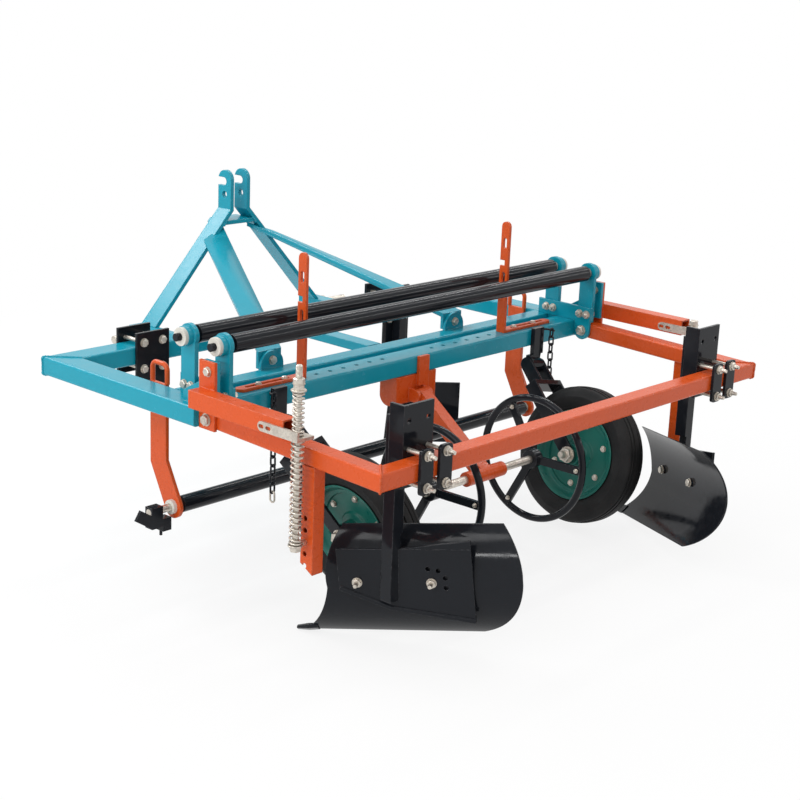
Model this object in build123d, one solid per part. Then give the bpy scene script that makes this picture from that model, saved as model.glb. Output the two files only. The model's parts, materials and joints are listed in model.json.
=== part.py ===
# Tractor-mounted mulch film layer: a blue frame on a three-point hitch carries two film rollers,
# a lower roller, press wheels, ring wheels and a sprung rear frame with two soil boards.
# Millimetres. The model is drawn with x to the right, y towards the tractor, the rear face of the
# cross beam at y = 0 and the ground at z = 0, and is then moved to the middle of the hitch pins.
import os
from math import cos, hypot, pi, radians, sin

from build123d import *

# Main frame
frame_width = 1590
frame_length = 620
frame_top = 530
beam_width = 75
beam_height = 50
tube_corner = 6
beam_wall = 4
rail_gap = 33
rail_width = 57
centre_beam_width = 50
centre_beam_height = 25
beam_hole = 13
beam_hole_first = 100
beam_hole_pitch = 50
beam_holes_each_side = 6

# Three-point hitch and mast
hitch_spread = 680
stub_width = 50
stub_height = 38
stub_length = 185
hitch_pin_diameter = 22
hitch_pin_length = 90
hitch_pin_set_back = 55
hitch_collar_diameter = 40
hitch_collar_thickness = 8
lynch_hole = 10
lynch_hole_inset = 14
mast_height = 420
mast_bend_height = 303
mast_width = 57
mast_set_back = 11
mast_foot_width = 64
mast_foot_inset = 18
mast_thickness = 12
ear_gap = 52
top_link_hole = 19.5
top_link_drop = 72
hook_height = 24
hook_depth = 36
hook_drop = 34
tie_thickness = 12
tie_width = 78
tie_drop = 30
brace_width = 80
brace_thickness = 12
brace_spread = 727
brace_shift = -36
brace_head_drop = 74
lug_thickness = 10
lug_set_back = 45
lug_height = 48
brace_bolt_rise = 22

# Fasteners
bolt_diameter = 12
bolt_clearance = 1
bolt_head_height = 8
bolt_head_across_flats = 19
nut_height = 10

# Opener clamps on the front beam and the front blade
clamp_inset = 305
clamp_width = 112
clamp_thickness = 8
clamp_rise = 40
clamp_rear_drop = 100
clamp_front_drop = 40
clamp_bolt_spread = 64
clamp_bolt_gap = 12
blade_bar = 30
blade_bar_length = 325
blade_bar_start = 20
blade_arm_height = 45
blade_inset = 130
blade_mid_y = 296
blade_length = 228
blade_height = 190
blade_drop = 200
blade_thickness = 8
blade_angle = 43
blade_rake = 14

# Side plates, top rollers and their brackets
plate_thickness = 8
side_plate_front = 141
side_plate_rise = 46
roller_rise = 150
roller_diameter = 46
roller_wall = 4
roller_cap = 10
roller_vent = 8
rear_roller_y = -30
roller_spacing = 128
roller_end_gap = 15
shaft_diameter = 20
shaft_overhang = 14
running_clearance = 0.06
bracket_thickness = 12
bracket_width = 52
bracket_top_radius = 30
bracket_bolt_rise = 24
bracket_bolt_spread = 26
boss_diameter = 50
boss_length = 16
bush_diameter = 30
bush_seat = 0.1
bush_flange_diameter = 46
bush_flange = 10
lower_bush_flange_diameter = 38

# Lower roller and its arms
lower_roller_y = 171
lower_roller_drop = 316
lower_roller_diameter = 44
roller_arm_thickness = 10
roller_arm_width = 62
roller_arm_y = 229
roller_arm_straight = 208
roller_arm_end_radius = 31
loop_bar = 13
loop_width = 58
loop_height = 50
loop_radius = 16
shaft_end_reach = 77
end_block_length = 35
end_block_width = 28
end_block_rise = 14
end_block_height = 56
end_hanger_length = 27
end_hanger_height = 34
end_hanger_drop = 13
end_pin_diameter = 8
end_pin_length = 13
end_flag_length = 50
end_flag_width = 30
end_flag_rise = 32
end_flag_thickness = 8

# Film roll arms
film_arm_inset = 387
film_arm_width = 30
film_arm_thickness = 8
film_arm_height = 328
film_foot_length = 217
film_foot_slot = 150
film_foot_slot_inset = 40
film_slot_width = 12
film_slot_low = 120
film_slot_length = 60
film_slot_gap = 55
film_notch_height = 16
film_notch_depth = 17
film_notch_rise = 207

# Sprung rear frame
pivot_y = -28
pivot_drop = 27
pivot_bolt = 16
rear_reach = 600
rear_tilt = 1.7
arm_width = 50
arm_height = 44
arm_wall = 4
arm_nose = 20
body_clearance = 0.4
spring_post_width = 34
spring_post_depth = 40
spring_post_y = -374
spring_post_drop = 320
spring_post_bevel = 22
post_hole = 13
post_hole_pitch = 29
post_hole_count = 5
post_hole_first = 186

# Spring arms, straps, rods and springs
spring_plate_width = 57
spring_plate_rise = 118
spring_plate_drop = 52
spring_plate_bolt_rise = 93
spring_channel_width = 42
spring_channel_height = 44
spring_channel_wall = 4
spring_channel_rise = 7
spring_channel_length = 330
spring_channel_front = 10
upright_thickness = 10
upright_foot = 70
upright_foot_rise = 25
upright_neck = 70
upright_gap = 8
upright_neck_gap = 8
strap_thickness = 6
strap_height = 24
strap_rise = 12
strap_start = 262
strap_slot_length = 17
strap_slot_width = 9
strap_slot_pitch = 23
strap_eye_thickness = 8
strap_eye_margin = 26
strap_hole = 25
rod_diameter = 16
rod_offset = 30
rod_y = -368
rod_rise = 184
rod_nut_rise = 123
rod_stop_gap = 4
rod_tip = 12
rod_seat_rise = 2
rod_pin_hole = 3
rod_pin_clearance = 0.2
washer_diameter = 36
washer_thickness = 4
rod_nut_across_flats = 24
rod_nut_height = 13
wire_diameter = 5
lower_spring_diameter = 32
lower_spring_turns = 20
upper_spring_diameter = 29
upper_spring_turns = 10
wire_sides = 6

# Soil boards, their posts and clamps
board_inset = 198
post_angle_width = 100
post_angle_depth = 45
post_angle_wall = 8
post_angle_rise = 100
post_angle_drop = 96
strip_width = 42
strip_thickness = 8
strip_corner = 10
stud_spread = 64
stud_gap = 10
post_bar = 34
post_bar_shift = 8
post_bar_rise = 60
post_hole_rise = 62
post_bar_bottom = 135
post_bar_pad = 35
board_toe = 44
board_lead = 335
board_angle = 30.9
board_pitch = 6.5
board_lean = 3.5
board_length = 542
board_height = 278
board_bulge = 62
board_thickness = 5
board_tip_length = 28
board_tip_height = 10
board_front_rake = 108
board_front_mid = 72
board_rear_top = 495
board_rear_low = 432
board_rear_peak = 0.62
wing_thickness = 8
wing_front = 121
wing_rear = 202
wing_top = 104
wing_drop = 50
wing_flare = 32
wing_gap = 0.4
wing_bolt_rise = 19
wing_front_bolt = 76
wing_rear_bolt = 103
wing_holes = 4
wing_hole_arc = 36
wing_hole_step = 40

# Press wheels
wheel_post_inset = 272
wheel_post_width = 44
wheel_post_thickness = 14
wheel_post_rise = 5
wheel_hinge_inset = 19
wheel_hinge_y = -12
wheel_hinge_drop = 104
wheel_hinge_diameter = 44
wheel_hinge_pin = 18
wheel_camber = 11.5
hinge_gap = 52
yoke_run = 76
fork_gap = 112
fork_bar_width = 40
fork_bar_thickness = 8
axle_back = 228
axle_down = 221
axle_diameter = 25
axle_overhang = 12
tyre_radius = 199
tyre_width = 90
tyre_crown = 10
rim_radius = 112
rim_width = 74
rim_lip = 8
rim_disc = 6
rim_disc_offset = 8
wheel_hub_diameter = 60
wheel_hub_length = 100

# Ring wheels and their carrier
bracket_half_width = 80
bracket_plate = 10
bracket_drop = 77
bracket_cheek_depth = 62
bracket_cheek_drop = 85
bracket_tab_x = 20
bracket_tab_width = 40
bracket_slot_gap = 3
ring_hinge_y = -22
ring_hinge_drop = 105
ring_hinge_pin = 16
ring_lug_thickness = 10
ring_lug_radius = 18
carrier_width = 38
carrier_depth = 38
ring_axle_y = -258
ring_axle_drop = 275
ring_tube_diameter = 40
ring_tube_half = 75
ring_axle_diameter = 22
ring_x = 211
ring_radius = 172
ring_bar = 20
ring_hub_diameter = 52
ring_hub_width = 30
ring_spoke_width = 22
ring_spoke_thickness = 10
ring_spoke_start = -61
ring_spokes = 3
axle_end = 10

# Chains
chain_reach = 38
chain_y = -30
chain_drop = 4
chain_wire = 5
chain_link_length = 34
chain_link_width = 20
chain_slack = 0.4
left_chain_links = 12
right_chain_links = 8
chain_hook = 6
chain_hook_bend = 14

# Derived places
half = frame_width / 2
clamp_x = half - clamp_inset
blade_mid_x = clamp_x - blade_inset
film_arm_x = half - film_arm_inset
board_x = half - board_inset
board_front_x = board_x + board_toe
board_front_y = board_lead - rear_reach
wheel_post_x = half - wheel_post_inset
wheel_hinge_x = wheel_post_x - wheel_hinge_inset
chain_x = wheel_post_x + chain_reach
inner = half - beam_width
top = frame_top
under = top - beam_height
rail_rear = beam_width + rail_gap
rail_front = rail_rear + rail_width
front_rear_face = frame_length - beam_width
stub_end = frame_length + stub_length
stub_top = under + stub_height
hitch_y = stub_end - hitch_pin_set_back
hitch_z = under + stub_height / 2
roller_z = top + roller_rise
front_roller_y = rear_roller_y + roller_spacing
bracket_out = inner + bracket_thickness
boss_out = bracket_out + boss_length
bush_out = boss_out + bush_flange
lower_roller_z = top - lower_roller_drop
arm_in = inner + body_clearance
arm_out = arm_in + arm_width
pivot_z = top - pivot_drop
plate_in = arm_out + body_clearance
plate_out = plate_in + plate_thickness
channel_out = plate_out + spring_channel_width
rod_x = arm_out + rod_offset
strap_z = top + strap_rise
lug_y = rail_rear + lug_set_back
brace_foot_y = lug_y + lug_thickness
parts = {}


def block(x, y, z):
    # Box from three pairs of limits.
    sizes = [high - low for low, high in (x, y, z)]
    middle = [(high + low) / 2 for low, high in (x, y, z)]
    return Pos(*middle) * Box(*sizes)


def tube_block(x, y, z, along):
    # Box whose four long edges are rounded as on drawn tube.
    bar = block(x, y, z)
    return fillet(bar.edges().filter_by(along), tube_corner)


def rod_along_x(x, y, z, diameter):
    length = x[1] - x[0]
    return Pos((x[0] + x[1]) / 2, y, z) * Rot(0, 90, 0) * Cylinder(diameter / 2, length)


def rod_along_y(x, y, z, diameter):
    length = y[1] - y[0]
    return Pos(x, (y[0] + y[1]) / 2, z) * Rot(90, 0, 0) * Cylinder(diameter / 2, length)


def rod_along_z(x, y, z, diameter):
    return Pos(x, y, (z[0] + z[1]) / 2) * Cylinder(diameter / 2, z[1] - z[0])


def polygon(points):
    # Face with these corners, facing up whichever way round they are given.
    ahead = points[1:] + points[:1]
    area = sum(a[0] * b[1] - b[0] * a[1] for a, b in zip(points, ahead))
    return Polygon(*(points if area > 0 else points[::-1]), align=None)


def plate_yz(outline, x):
    # Plate that lies in the y-z plane, from an outline of (y, z) points or a sketch.
    face = outline if isinstance(outline, Sketch) else polygon(outline)
    return extrude(Plane.YZ.offset(x[0]) * face, x[1] - x[0], dir=(1, 0, 0))


def plate_xz(outline, y):
    # Plate that lies in the x-z plane, from an outline of (x, z) points or a sketch.
    face = outline if isinstance(outline, Sketch) else polygon(outline)
    return extrude(Plane.XZ.offset(-y[0]) * face, y[1] - y[0], dir=(0, 1, 0))


def plate_xy(outline, z):
    face = outline if isinstance(outline, Sketch) else polygon(outline)
    return extrude(Plane.XY.offset(z[0]) * face, z[1] - z[0], dir=(0, 0, 1))


def strip(points, width):
    # Outline of a flat bar of one width along a line of points, mitred at its bends.
    left, right = [], []
    last = len(points) - 1
    for i, (px, py) in enumerate(points):
        before = points[max(i - 1, 0)]
        after = points[min(i + 1, last)]
        runs = [(px - before[0], py - before[1]), (after[0] - px, after[1] - py)]
        units = [(a / hypot(a, b), b / hypot(a, b)) for a, b in runs if hypot(a, b) > 0]
        normals = [(-b, a) for a, b in units]
        nx = sum(n[0] for n in normals) / len(normals)
        ny = sum(n[1] for n in normals) / len(normals)
        scale = width / 2 / (nx * nx + ny * ny)
        left.append((px + nx * scale, py + ny * scale))
        right.append((px - nx * scale, py - ny * scale))
    return left + right[::-1]


def mirrored(shape):
    return mirror(shape, about=Plane.YZ)


def leaning(shape, foot, head):
    # Prism from a face at foot, run along the line to head.
    along = Vector(*head) - Vector(*foot)
    return extrude(shape, along.length, dir=along.normalized())


def hexagon(across_flats):
    return RegularPolygon(across_flats / 2, 6, major_radius=False)


def bolt(start, end, diameter=bolt_diameter, flats=bolt_head_across_flats):
    # Hexagon bolt whose head seats at start and whose nut seats at end.
    axis = (Vector(*end) - Vector(*start)).normalized()
    length = (Vector(*end) - Vector(*start)).length
    seat = Plane(origin=start, z_dir=axis)
    body = extrude(seat * hexagon(flats), -bolt_head_height)
    body += extrude(seat * Circle(diameter / 2), length)
    body += extrude(seat.offset(length) * hexagon(flats), nut_height)
    return body


def bolt_hole(start, end, diameter=bolt_diameter):
    axis = (Vector(*end) - Vector(*start)).normalized()
    length = (Vector(*end) - Vector(*start)).length
    seat = Plane(origin=start, z_dir=axis)
    return extrude(seat * Circle((diameter + bolt_clearance) / 2), length)


def pair(name, shape):
    # A piece on each side of the machine.
    parts["right_" + name] = shape
    parts["left_" + name] = mirrored(shape)


def both(shape):
    return [shape, mirrored(shape)]


# Blue frame of rectangular tube, mitred at its front corners.
def frame_beams():
    high = (under, top)
    core = (under + beam_wall, top - beam_wall)
    mitre_side = [
        (inner - 1, front_rear_face - 1),
        (half + 1, frame_length + 1),
        (inner - 1, frame_length + 1),
    ]
    mitre_front = [
        (inner - 1, front_rear_face - 1),
        (half + 1, frame_length + 1),
        (half + 1, front_rear_face - 1),
    ]
    side = tube_block((inner, half), (0, frame_length), high, Axis.Y)
    side -= block((inner + beam_wall, half - beam_wall), (beam_wall, frame_length - beam_wall), core)
    side -= plate_xy(mitre_side, (under - 1, top + 1))
    upright = plate_yz(
        [
            (upright_foot, top),
            (upright_foot, top + upright_foot_rise),
            (-upright_neck_gap, top + upright_neck),
            (-upright_neck_gap, top + spring_plate_rise),
            (-spring_plate_width, top + spring_plate_rise),
            (-spring_plate_width, top + upright_gap),
            (0, top + upright_gap),
            (0, top),
        ],
        (plate_in - upright_thickness, plate_in),
    )
    upright -= bolt_hole(*spring_plate_bolt())
    pair("side_beam", side + upright)

    front = tube_block((-half, half), (front_rear_face, frame_length), high, Axis.X)
    hollow_y = (front_rear_face + beam_wall, frame_length - beam_wall)
    front -= block((beam_wall - half, half - beam_wall), hollow_y, core)
    for cut in both(plate_xy(mitre_front, (under - 1, top + 1))):
        front -= cut
    parts["front_beam"] = front

    cross = tube_block((-inner, inner), (0, beam_width), high, Axis.X)
    cross -= block((-inner, inner), (beam_wall, beam_width - beam_wall), core)
    for i in range(beam_holes_each_side):
        x = beam_hole_first + i * beam_hole_pitch
        for hole in both(rod_along_z(x, beam_width / 2, (top - 2 * beam_wall, top + 1), beam_hole)):
            cross -= hole
    parts["cross_beam"] = cross

    rail = tube_block((-inner, inner), (rail_rear, rail_front), high, Axis.X)
    rail -= block((-inner, inner), (rail_rear + beam_wall, rail_front - beam_wall), core)
    for side in (-1, 1):
        x = brace_x(side)
        shoulder = lug_height - brace_width / 2
        lug_face = Pos(x, top + shoulder / 2) * Rectangle(brace_width, shoulder)
        lug_face += Pos(x, top + shoulder) * Circle(brace_width / 2)
        lug_face &= Pos(x, top + lug_height / 2) * Rectangle(brace_width, lug_height)
        lug_face += Pos(x, top - beam_wall / 2) * Rectangle(brace_width, beam_wall)
        rail += plate_xz(lug_face, (lug_y, brace_foot_y)) - bolt_hole(*brace_bolt(side))
    parts["cross_rail"] = rail

    centre_x = (-centre_beam_width / 2, centre_beam_width / 2)
    centre = block(centre_x, (rail_front, front_rear_face), (top - centre_beam_height, top))
    centre -= block(
        (centre_x[0] + beam_wall, centre_x[1] - beam_wall),
        (rail_front, front_rear_face),
        (top - centre_beam_height + beam_wall, top - beam_wall),
    )
    parts["centre_beam"] = centre


def brace_x(side):
    # Middle of a brace's foot; both feet stand the same way off the middle of the rail.
    return brace_shift + side * brace_spread / 2


def brace_bolt(side):
    x, z = brace_x(side), top + brace_bolt_rise
    return (x, lug_y, z), (x, brace_foot_y + lug_thickness, z)


def spring_plate_bolt():
    y, z = -(spring_plate_width + upright_neck_gap) / 2, top + spring_plate_bolt_rise
    return (plate_out, y, z), (plate_in - upright_thickness, y, z)


# Three-point hitch: bent mast legs with hook ears, tie, braces, stubs and lower link pins.
def hitch():
    mast_front = stub_end - mast_set_back
    mast_rear = mast_front - mast_width
    foot_rear = mast_front - mast_foot_width
    centre = ear_gap / 2 + mast_thickness / 2
    foot = hitch_spread / 2 - mast_foot_inset
    bend = top + mast_bend_height
    slope = (foot - centre) / (bend - stub_top)
    run = mast_thickness
    line = [(centre, top + mast_height), (centre, bend), (foot + run * slope, stub_top - run)]
    leg = plate_xz(strip(line, mast_thickness), (min(mast_rear, foot_rear), mast_front))
    ear_mid = mast_rear + mast_width / 2
    dome_z = top + mast_height - mast_width / 2
    sides = [
        (foot_rear, stub_top),
        (mast_front, stub_top),
        (mast_front, dome_z),
        (mast_rear, dome_z),
        (mast_rear, bend),
    ]
    side_view = polygon(sides) + Pos(ear_mid, dome_z) * Circle(mast_width / 2)
    leg &= plate_yz(side_view, (0, foot + 4 * run))
    hook_z = top + mast_height - hook_drop
    hook_end = mast_front - hook_depth + hook_height / 2
    ear_x = (0, ear_gap + mast_thickness)
    leg -= block(ear_x, (hook_end, mast_front + 1), (hook_z - hook_height / 2, hook_z + hook_height / 2))
    leg -= rod_along_x(ear_x, hook_end, hook_z, hook_height)
    leg -= rod_along_x(ear_x, ear_mid, top + mast_height - top_link_drop, top_link_hole)
    pair("mast_leg", leg)

    # The tie fills the space between the legs' sloping inner faces.
    tie_face = []
    for drop in (tie_drop, tie_drop + tie_thickness):
        reach = centre + slope * drop - mast_thickness / 2 * hypot(1, slope)
        tie_face += [(reach, bend - drop), (-reach, bend - drop)]
    tie_face[2:] = tie_face[:1:-1]
    parts["mast_tie"] = plate_xz(tie_face, (mast_rear, mast_rear + tie_width))

    head_z = bend - brace_head_drop
    taper = (mast_rear - foot_rear) / (bend - stub_top)
    head_y = mast_rear - taper * (brace_head_drop + brace_thickness / 2)
    for side, name in ((-1, "left_mast_brace"), (1, "right_mast_brace")):
        x = brace_x(side)
        head = (side * (centre + slope * brace_head_drop), head_y, head_z)
        heel = (x, brace_foot_y, top + lug_height - brace_thickness / 2)
        face = Plane(origin=head, x_dir=(1, 0, 0), z_dir=(0, -1, 0))
        brace = leaning(face * Rectangle(brace_width, brace_thickness), head, heel)
        tab_x = (x - brace_width / 2, x + brace_width / 2)
        tab_y = (brace_foot_y, brace_foot_y + lug_thickness)
        brace += block(tab_x, tab_y, (top + 2, top + lug_height))
        parts[name] = brace - bolt_hole(*brace_bolt(side))

    stub_x = (hitch_spread / 2 - stub_width / 2, hitch_spread / 2 + stub_width / 2)
    stub = block(stub_x, (frame_length, stub_end), (under, stub_top))
    stub -= block(
        (stub_x[0] + beam_wall, stub_x[1] - beam_wall),
        (frame_length, stub_end - beam_wall),
        (under + beam_wall, stub_top - beam_wall),
    )
    parts["hitch_stubs"] = Compound(children=both(stub))

    pin_in = stub_x[1]
    collar_out = pin_in + hitch_collar_thickness
    pin_out = collar_out + hitch_pin_length
    pin = rod_along_x((pin_in, collar_out), hitch_y, hitch_z, hitch_collar_diameter)
    pin &= block((pin_in, collar_out), (hitch_y - stub_width, hitch_y + stub_width), (under, stub_top))
    pin += rod_along_x((collar_out, pin_out), hitch_y, hitch_z, hitch_pin_diameter)
    pin -= rod_along_z(pin_out - lynch_hole_inset, hitch_y, (under, stub_top), lynch_hole)
    parts["hitch_pins"] = Compound(children=both(pin))


# Black clamp plates that straddle the front beam, and the blade on the right one.
def clamp_bolts():
    spots = []
    for side in (-1, 1):
        for z in (top + clamp_bolt_gap, under - clamp_bolt_gap):
            x = clamp_x + side * clamp_bolt_spread / 2
            spots.append(((x, front_rear_face - clamp_thickness, z), (x, frame_length + clamp_thickness, z)))
    return spots


def openers():
    x = (clamp_x - clamp_width / 2, clamp_x + clamp_width / 2)
    rear_y = (front_rear_face - clamp_thickness, front_rear_face)
    front_y = (frame_length, frame_length + clamp_thickness)
    rear = block(x, rear_y, (under - clamp_rear_drop, top + clamp_rise))
    front = block(x, front_y, (under - clamp_front_drop, top + clamp_rise))
    for spot in clamp_bolts():
        rear -= bolt_hole(*spot)
        front -= bolt_hole(*spot)
    parts["opener_clamps"] = Compound(children=both(rear) + both(front))

    bar_y = rear_y[0] - blade_bar / 2
    bar_top = under - blade_bar_start + beam_height
    bar_end = bar_top - blade_bar_length
    blade = block(
        (clamp_x - blade_bar / 2, clamp_x + blade_bar / 2),
        (rear_y[0] - blade_bar, rear_y[0]),
        (bar_end, bar_top),
    )
    arm_start = (clamp_x, bar_y, bar_end + blade_arm_height)
    arm_finish = (blade_mid_x, blade_mid_y, bar_end + blade_arm_height)
    face = Plane(origin=arm_start, x_dir=(1, 0, 0), z_dir=(0, -1, 0)) * Rectangle(blade_bar, blade_bar)
    blade += leaning(face, arm_start, arm_finish)
    along = (cos(radians(blade_angle)), -sin(radians(blade_angle)), 0)
    flat = Plane(origin=(blade_mid_x, blade_mid_y, 0), x_dir=along, z_dir=(along[1], -along[0], 0))
    high = top - blade_drop
    outline = [
        (-blade_length / 2, high - blade_height),
        (blade_rake - blade_length / 2, high),
        (blade_length / 2, high),
        (blade_length / 2, high - blade_height),
    ]
    blade += extrude(flat * polygon(outline), blade_thickness / 2, both=True)
    parts["front_blade"] = blade


# Side plates with the rear pivot ears, roller brackets, bushes and the two top rollers.
def bracket_bolts():
    spots = []
    for y in (rear_roller_y, front_roller_y):
        for side in (-1, 1):
            place = (y + side * bracket_bolt_spread / 2, top + bracket_bolt_rise)
            spots.append(((bracket_out, *place), (inner - plate_thickness, *place)))
    return spots


def pivot_bolt_line():
    return (plate_out, pivot_y, pivot_z), (inner - plate_thickness, pivot_y, pivot_z)


def top_rollers():
    ear = -pivot_y
    rear_edge = min(2 * pivot_y, rear_roller_y - bracket_width / 2)
    flat = Pos((side_plate_front + rear_edge) / 2, top + side_plate_rise / 2)
    flat *= Rectangle(side_plate_front - rear_edge, side_plate_rise)
    flat += Pos(pivot_y, pivot_z) * Circle(ear)
    flat += Pos(pivot_y, (pivot_z + top) / 2) * Rectangle(2 * ear, top - pivot_z)
    plate = plate_yz(flat, (inner - plate_thickness, inner))
    for spot in bracket_bolts():
        plate -= bolt_hole(*spot)
    pivot_hole = pivot_bolt + bolt_clearance
    plate -= rod_along_x((inner - 2 * plate_thickness, inner + 1), pivot_y, pivot_z, pivot_hole)
    parts["side_plates"] = Compound(children=both(plate))

    brackets, bushes = [], []
    for y in (rear_roller_y, front_roller_y):
        face = Pos(y, (top + roller_z) / 2) * Rectangle(bracket_width, roller_z - top)
        face += Pos(y, roller_z) * Circle(bracket_top_radius)
        bracket = plate_yz(face, (inner, bracket_out))
        bracket += rod_along_x((bracket_out, boss_out), y, roller_z, boss_diameter)
        bracket -= rod_along_x((inner - 1, boss_out + 1), y, roller_z, bush_diameter + 2 * bush_seat)
        for spot in bracket_bolts():
            bracket -= bolt_hole(*spot)
        brackets += both(bracket)
        bushes += both(bush((inner, boss_out), y, roller_z, bush_flange_diameter))
    seat = (inner - roller_arm_thickness, inner)
    bushes += both(bush(seat, lower_roller_y, lower_roller_z, lower_bush_flange_diameter))
    parts["roller_brackets"] = Compound(children=brackets)
    parts["roller_bushes"] = Compound(children=bushes)
    parts["rear_top_roller"] = top_roller(rear_roller_y)
    parts["front_top_roller"] = top_roller(front_roller_y)


def bush(hole, y, z, flange):
    # Nylon bush: a sleeve in its hole and a flange against the outer face.
    end = hole[1] + bush_flange
    sleeve = rod_along_x(hole, y, z, bush_diameter)
    sleeve += rod_along_x((hole[1], end), y, z, flange)
    running = shaft_diameter + 2 * running_clearance
    return sleeve - rod_along_x((hole[0] - 1, end + 1), y, z, running)


def top_roller(y):
    end = inner - roller_end_gap
    tube = rod_along_x((-end, end), y, roller_z, roller_diameter)
    tube -= rod_along_x((roller_cap - end, end - roller_cap), y, roller_z, roller_diameter - 2 * roller_wall)
    vent_z = roller_z + (shaft_diameter + roller_diameter) / 4 - roller_wall / 2
    tube -= rod_along_x((-end - 1, end + 1), y, vent_z, min(roller_vent, roller_wall))
    for stub in both(rod_along_x((end, bush_out + shaft_overhang), y, roller_z, shaft_diameter)):
        tube += stub
    return tube


# Lower roller on a fixed shaft between two arms with loop handles.
def lower_roller():
    end = inner - roller_arm_thickness - roller_end_gap
    tube = rod_along_x((-end, end), lower_roller_y, lower_roller_z, lower_roller_diameter)
    bore = lower_roller_diameter - 2 * roller_wall
    tube -= rod_along_x((roller_cap - end, end - roller_cap), lower_roller_y, lower_roller_z, bore)
    running = shaft_diameter + 2 * running_clearance
    tube -= rod_along_x((-end - 1, end + 1), lower_roller_y, lower_roller_z, running)
    parts["lower_roller"] = tube

    right_end = inner + bush_flange + shaft_overhang
    left_end = inner + shaft_end_reach
    parts["lower_shaft"] = rod_along_x((-left_end, right_end), lower_roller_y, lower_roller_z, shaft_diameter)

    line = [
        (roller_arm_y, top),
        (roller_arm_y, top - roller_arm_straight),
        (lower_roller_y, lower_roller_z),
    ]
    face = polygon(strip(line, roller_arm_width))
    face += Pos(lower_roller_y, lower_roller_z) * Circle(roller_arm_end_radius)
    arm_x = (inner - roller_arm_thickness, inner)
    arm = plate_yz(face, arm_x)
    bush_hole = bush_diameter + 2 * bush_seat
    arm -= rod_along_x((arm_x[0] - 1, inner + 1), lower_roller_y, lower_roller_z, bush_hole)
    corner = [
        (roller_arm_y - loop_width / 2, top),
        (roller_arm_y - loop_width / 2, top + loop_height),
        (roller_arm_y + loop_width / 2, top + loop_height),
        (roller_arm_y + loop_width / 2, top),
    ]
    loop_x = inner - loop_bar / 2
    path = FilletPolyline(*[(loop_x, y, z) for y, z in corner], radius=loop_radius)
    foot = Plane(origin=(loop_x, *corner[0]), z_dir=(0, 0, 1))
    arm += sweep(foot * Circle(loop_bar / 2), path=path)
    pair("roller_arm", arm)

    parts["shaft_end_plate"] = shaft_end_plate(-left_end)


def shaft_end_plate(shaft_end):
    # Black clamp on the shaft's left end, with a hanger, a pin below it and a sloping flag.
    width = (lower_roller_y - end_block_width / 2, lower_roller_y + end_block_width / 2)
    inside = shaft_end + end_block_length
    high = lower_roller_z + end_block_rise
    low = high - end_block_height
    clamp = block((shaft_end, inside), width, (low, high))
    hanger_x = (inside, inside + end_hanger_length)
    hanger_low = low - end_hanger_drop
    clamp += block(hanger_x, width, (hanger_low, hanger_low + end_hanger_height))
    pin_x = inside + end_pin_diameter / 2
    pin_z = (hanger_low - end_pin_length, hanger_low)
    clamp += rod_along_z(pin_x, lower_roller_y, pin_z, end_pin_diameter)
    root = (shaft_end + end_flag_width / 4, low + end_flag_width / 2)
    tip = (root[0] - end_flag_length, root[1] + end_flag_rise)
    flag_y = (width[0], width[0] + end_flag_thickness)
    clamp += plate_xz(strip([root, tip], end_flag_width), flag_y)
    hole = shaft_diameter + 2 * bush_seat
    return clamp - rod_along_x((shaft_end, hanger_x[1]), lower_roller_y, lower_roller_z, hole)


# Film roll arms: flat bar bent to an L, slotted for the roll's spindle and for its foot bolts.
def film_arms():
    mid = beam_width / 2
    width = (mid - film_arm_width / 2, mid + film_arm_width / 2)
    foot_end = film_arm_x + film_foot_length - film_arm_width / 2
    foot = block((film_arm_x, foot_end), width, (top, top + film_arm_thickness))
    foot += rod_along_z(foot_end, mid, (top, top + film_arm_thickness), film_arm_width)
    slot = (film_arm_x + film_foot_slot_inset, film_arm_x + film_foot_slot_inset + film_foot_slot)
    foot -= Pos((slot[0] + slot[1]) / 2, mid, top) * extrude(
        SlotOverall(film_foot_slot, film_slot_width), film_arm_thickness + 1
    )
    arm_top = top + film_arm_height
    face = Pos(mid, (top + arm_top - film_arm_width / 2) / 2)
    face *= Rectangle(film_arm_width, film_arm_height - film_arm_width / 2)
    face += Pos(mid, arm_top - film_arm_width / 2) * Circle(film_arm_width / 2)
    low = top + film_slot_low + film_slot_length / 2
    face -= Pos(mid, low) * Rot(0, 0, 90) * SlotOverall(film_slot_length, film_slot_width)
    high = low + film_slot_length + film_slot_gap
    face -= Pos(mid, high) * Rot(0, 0, 90) * SlotOverall(film_slot_length / 2, film_slot_width)
    notch_z = top + film_notch_rise
    face -= Pos(width[1] - film_notch_depth / 2, notch_z) * Rectangle(film_notch_depth, film_notch_height)
    pair("film_arm", foot + plate_yz(face, (film_arm_x - film_arm_thickness, film_arm_x)))


# Rear frame: two arms with spring posts and a mitred rear beam, tilted about its pivot.
def tilt(shape):
    return Pos(0, pivot_y, pivot_z) * Rot(rear_tilt, 0, 0) * Pos(0, -pivot_y, -pivot_z) * shape


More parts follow.
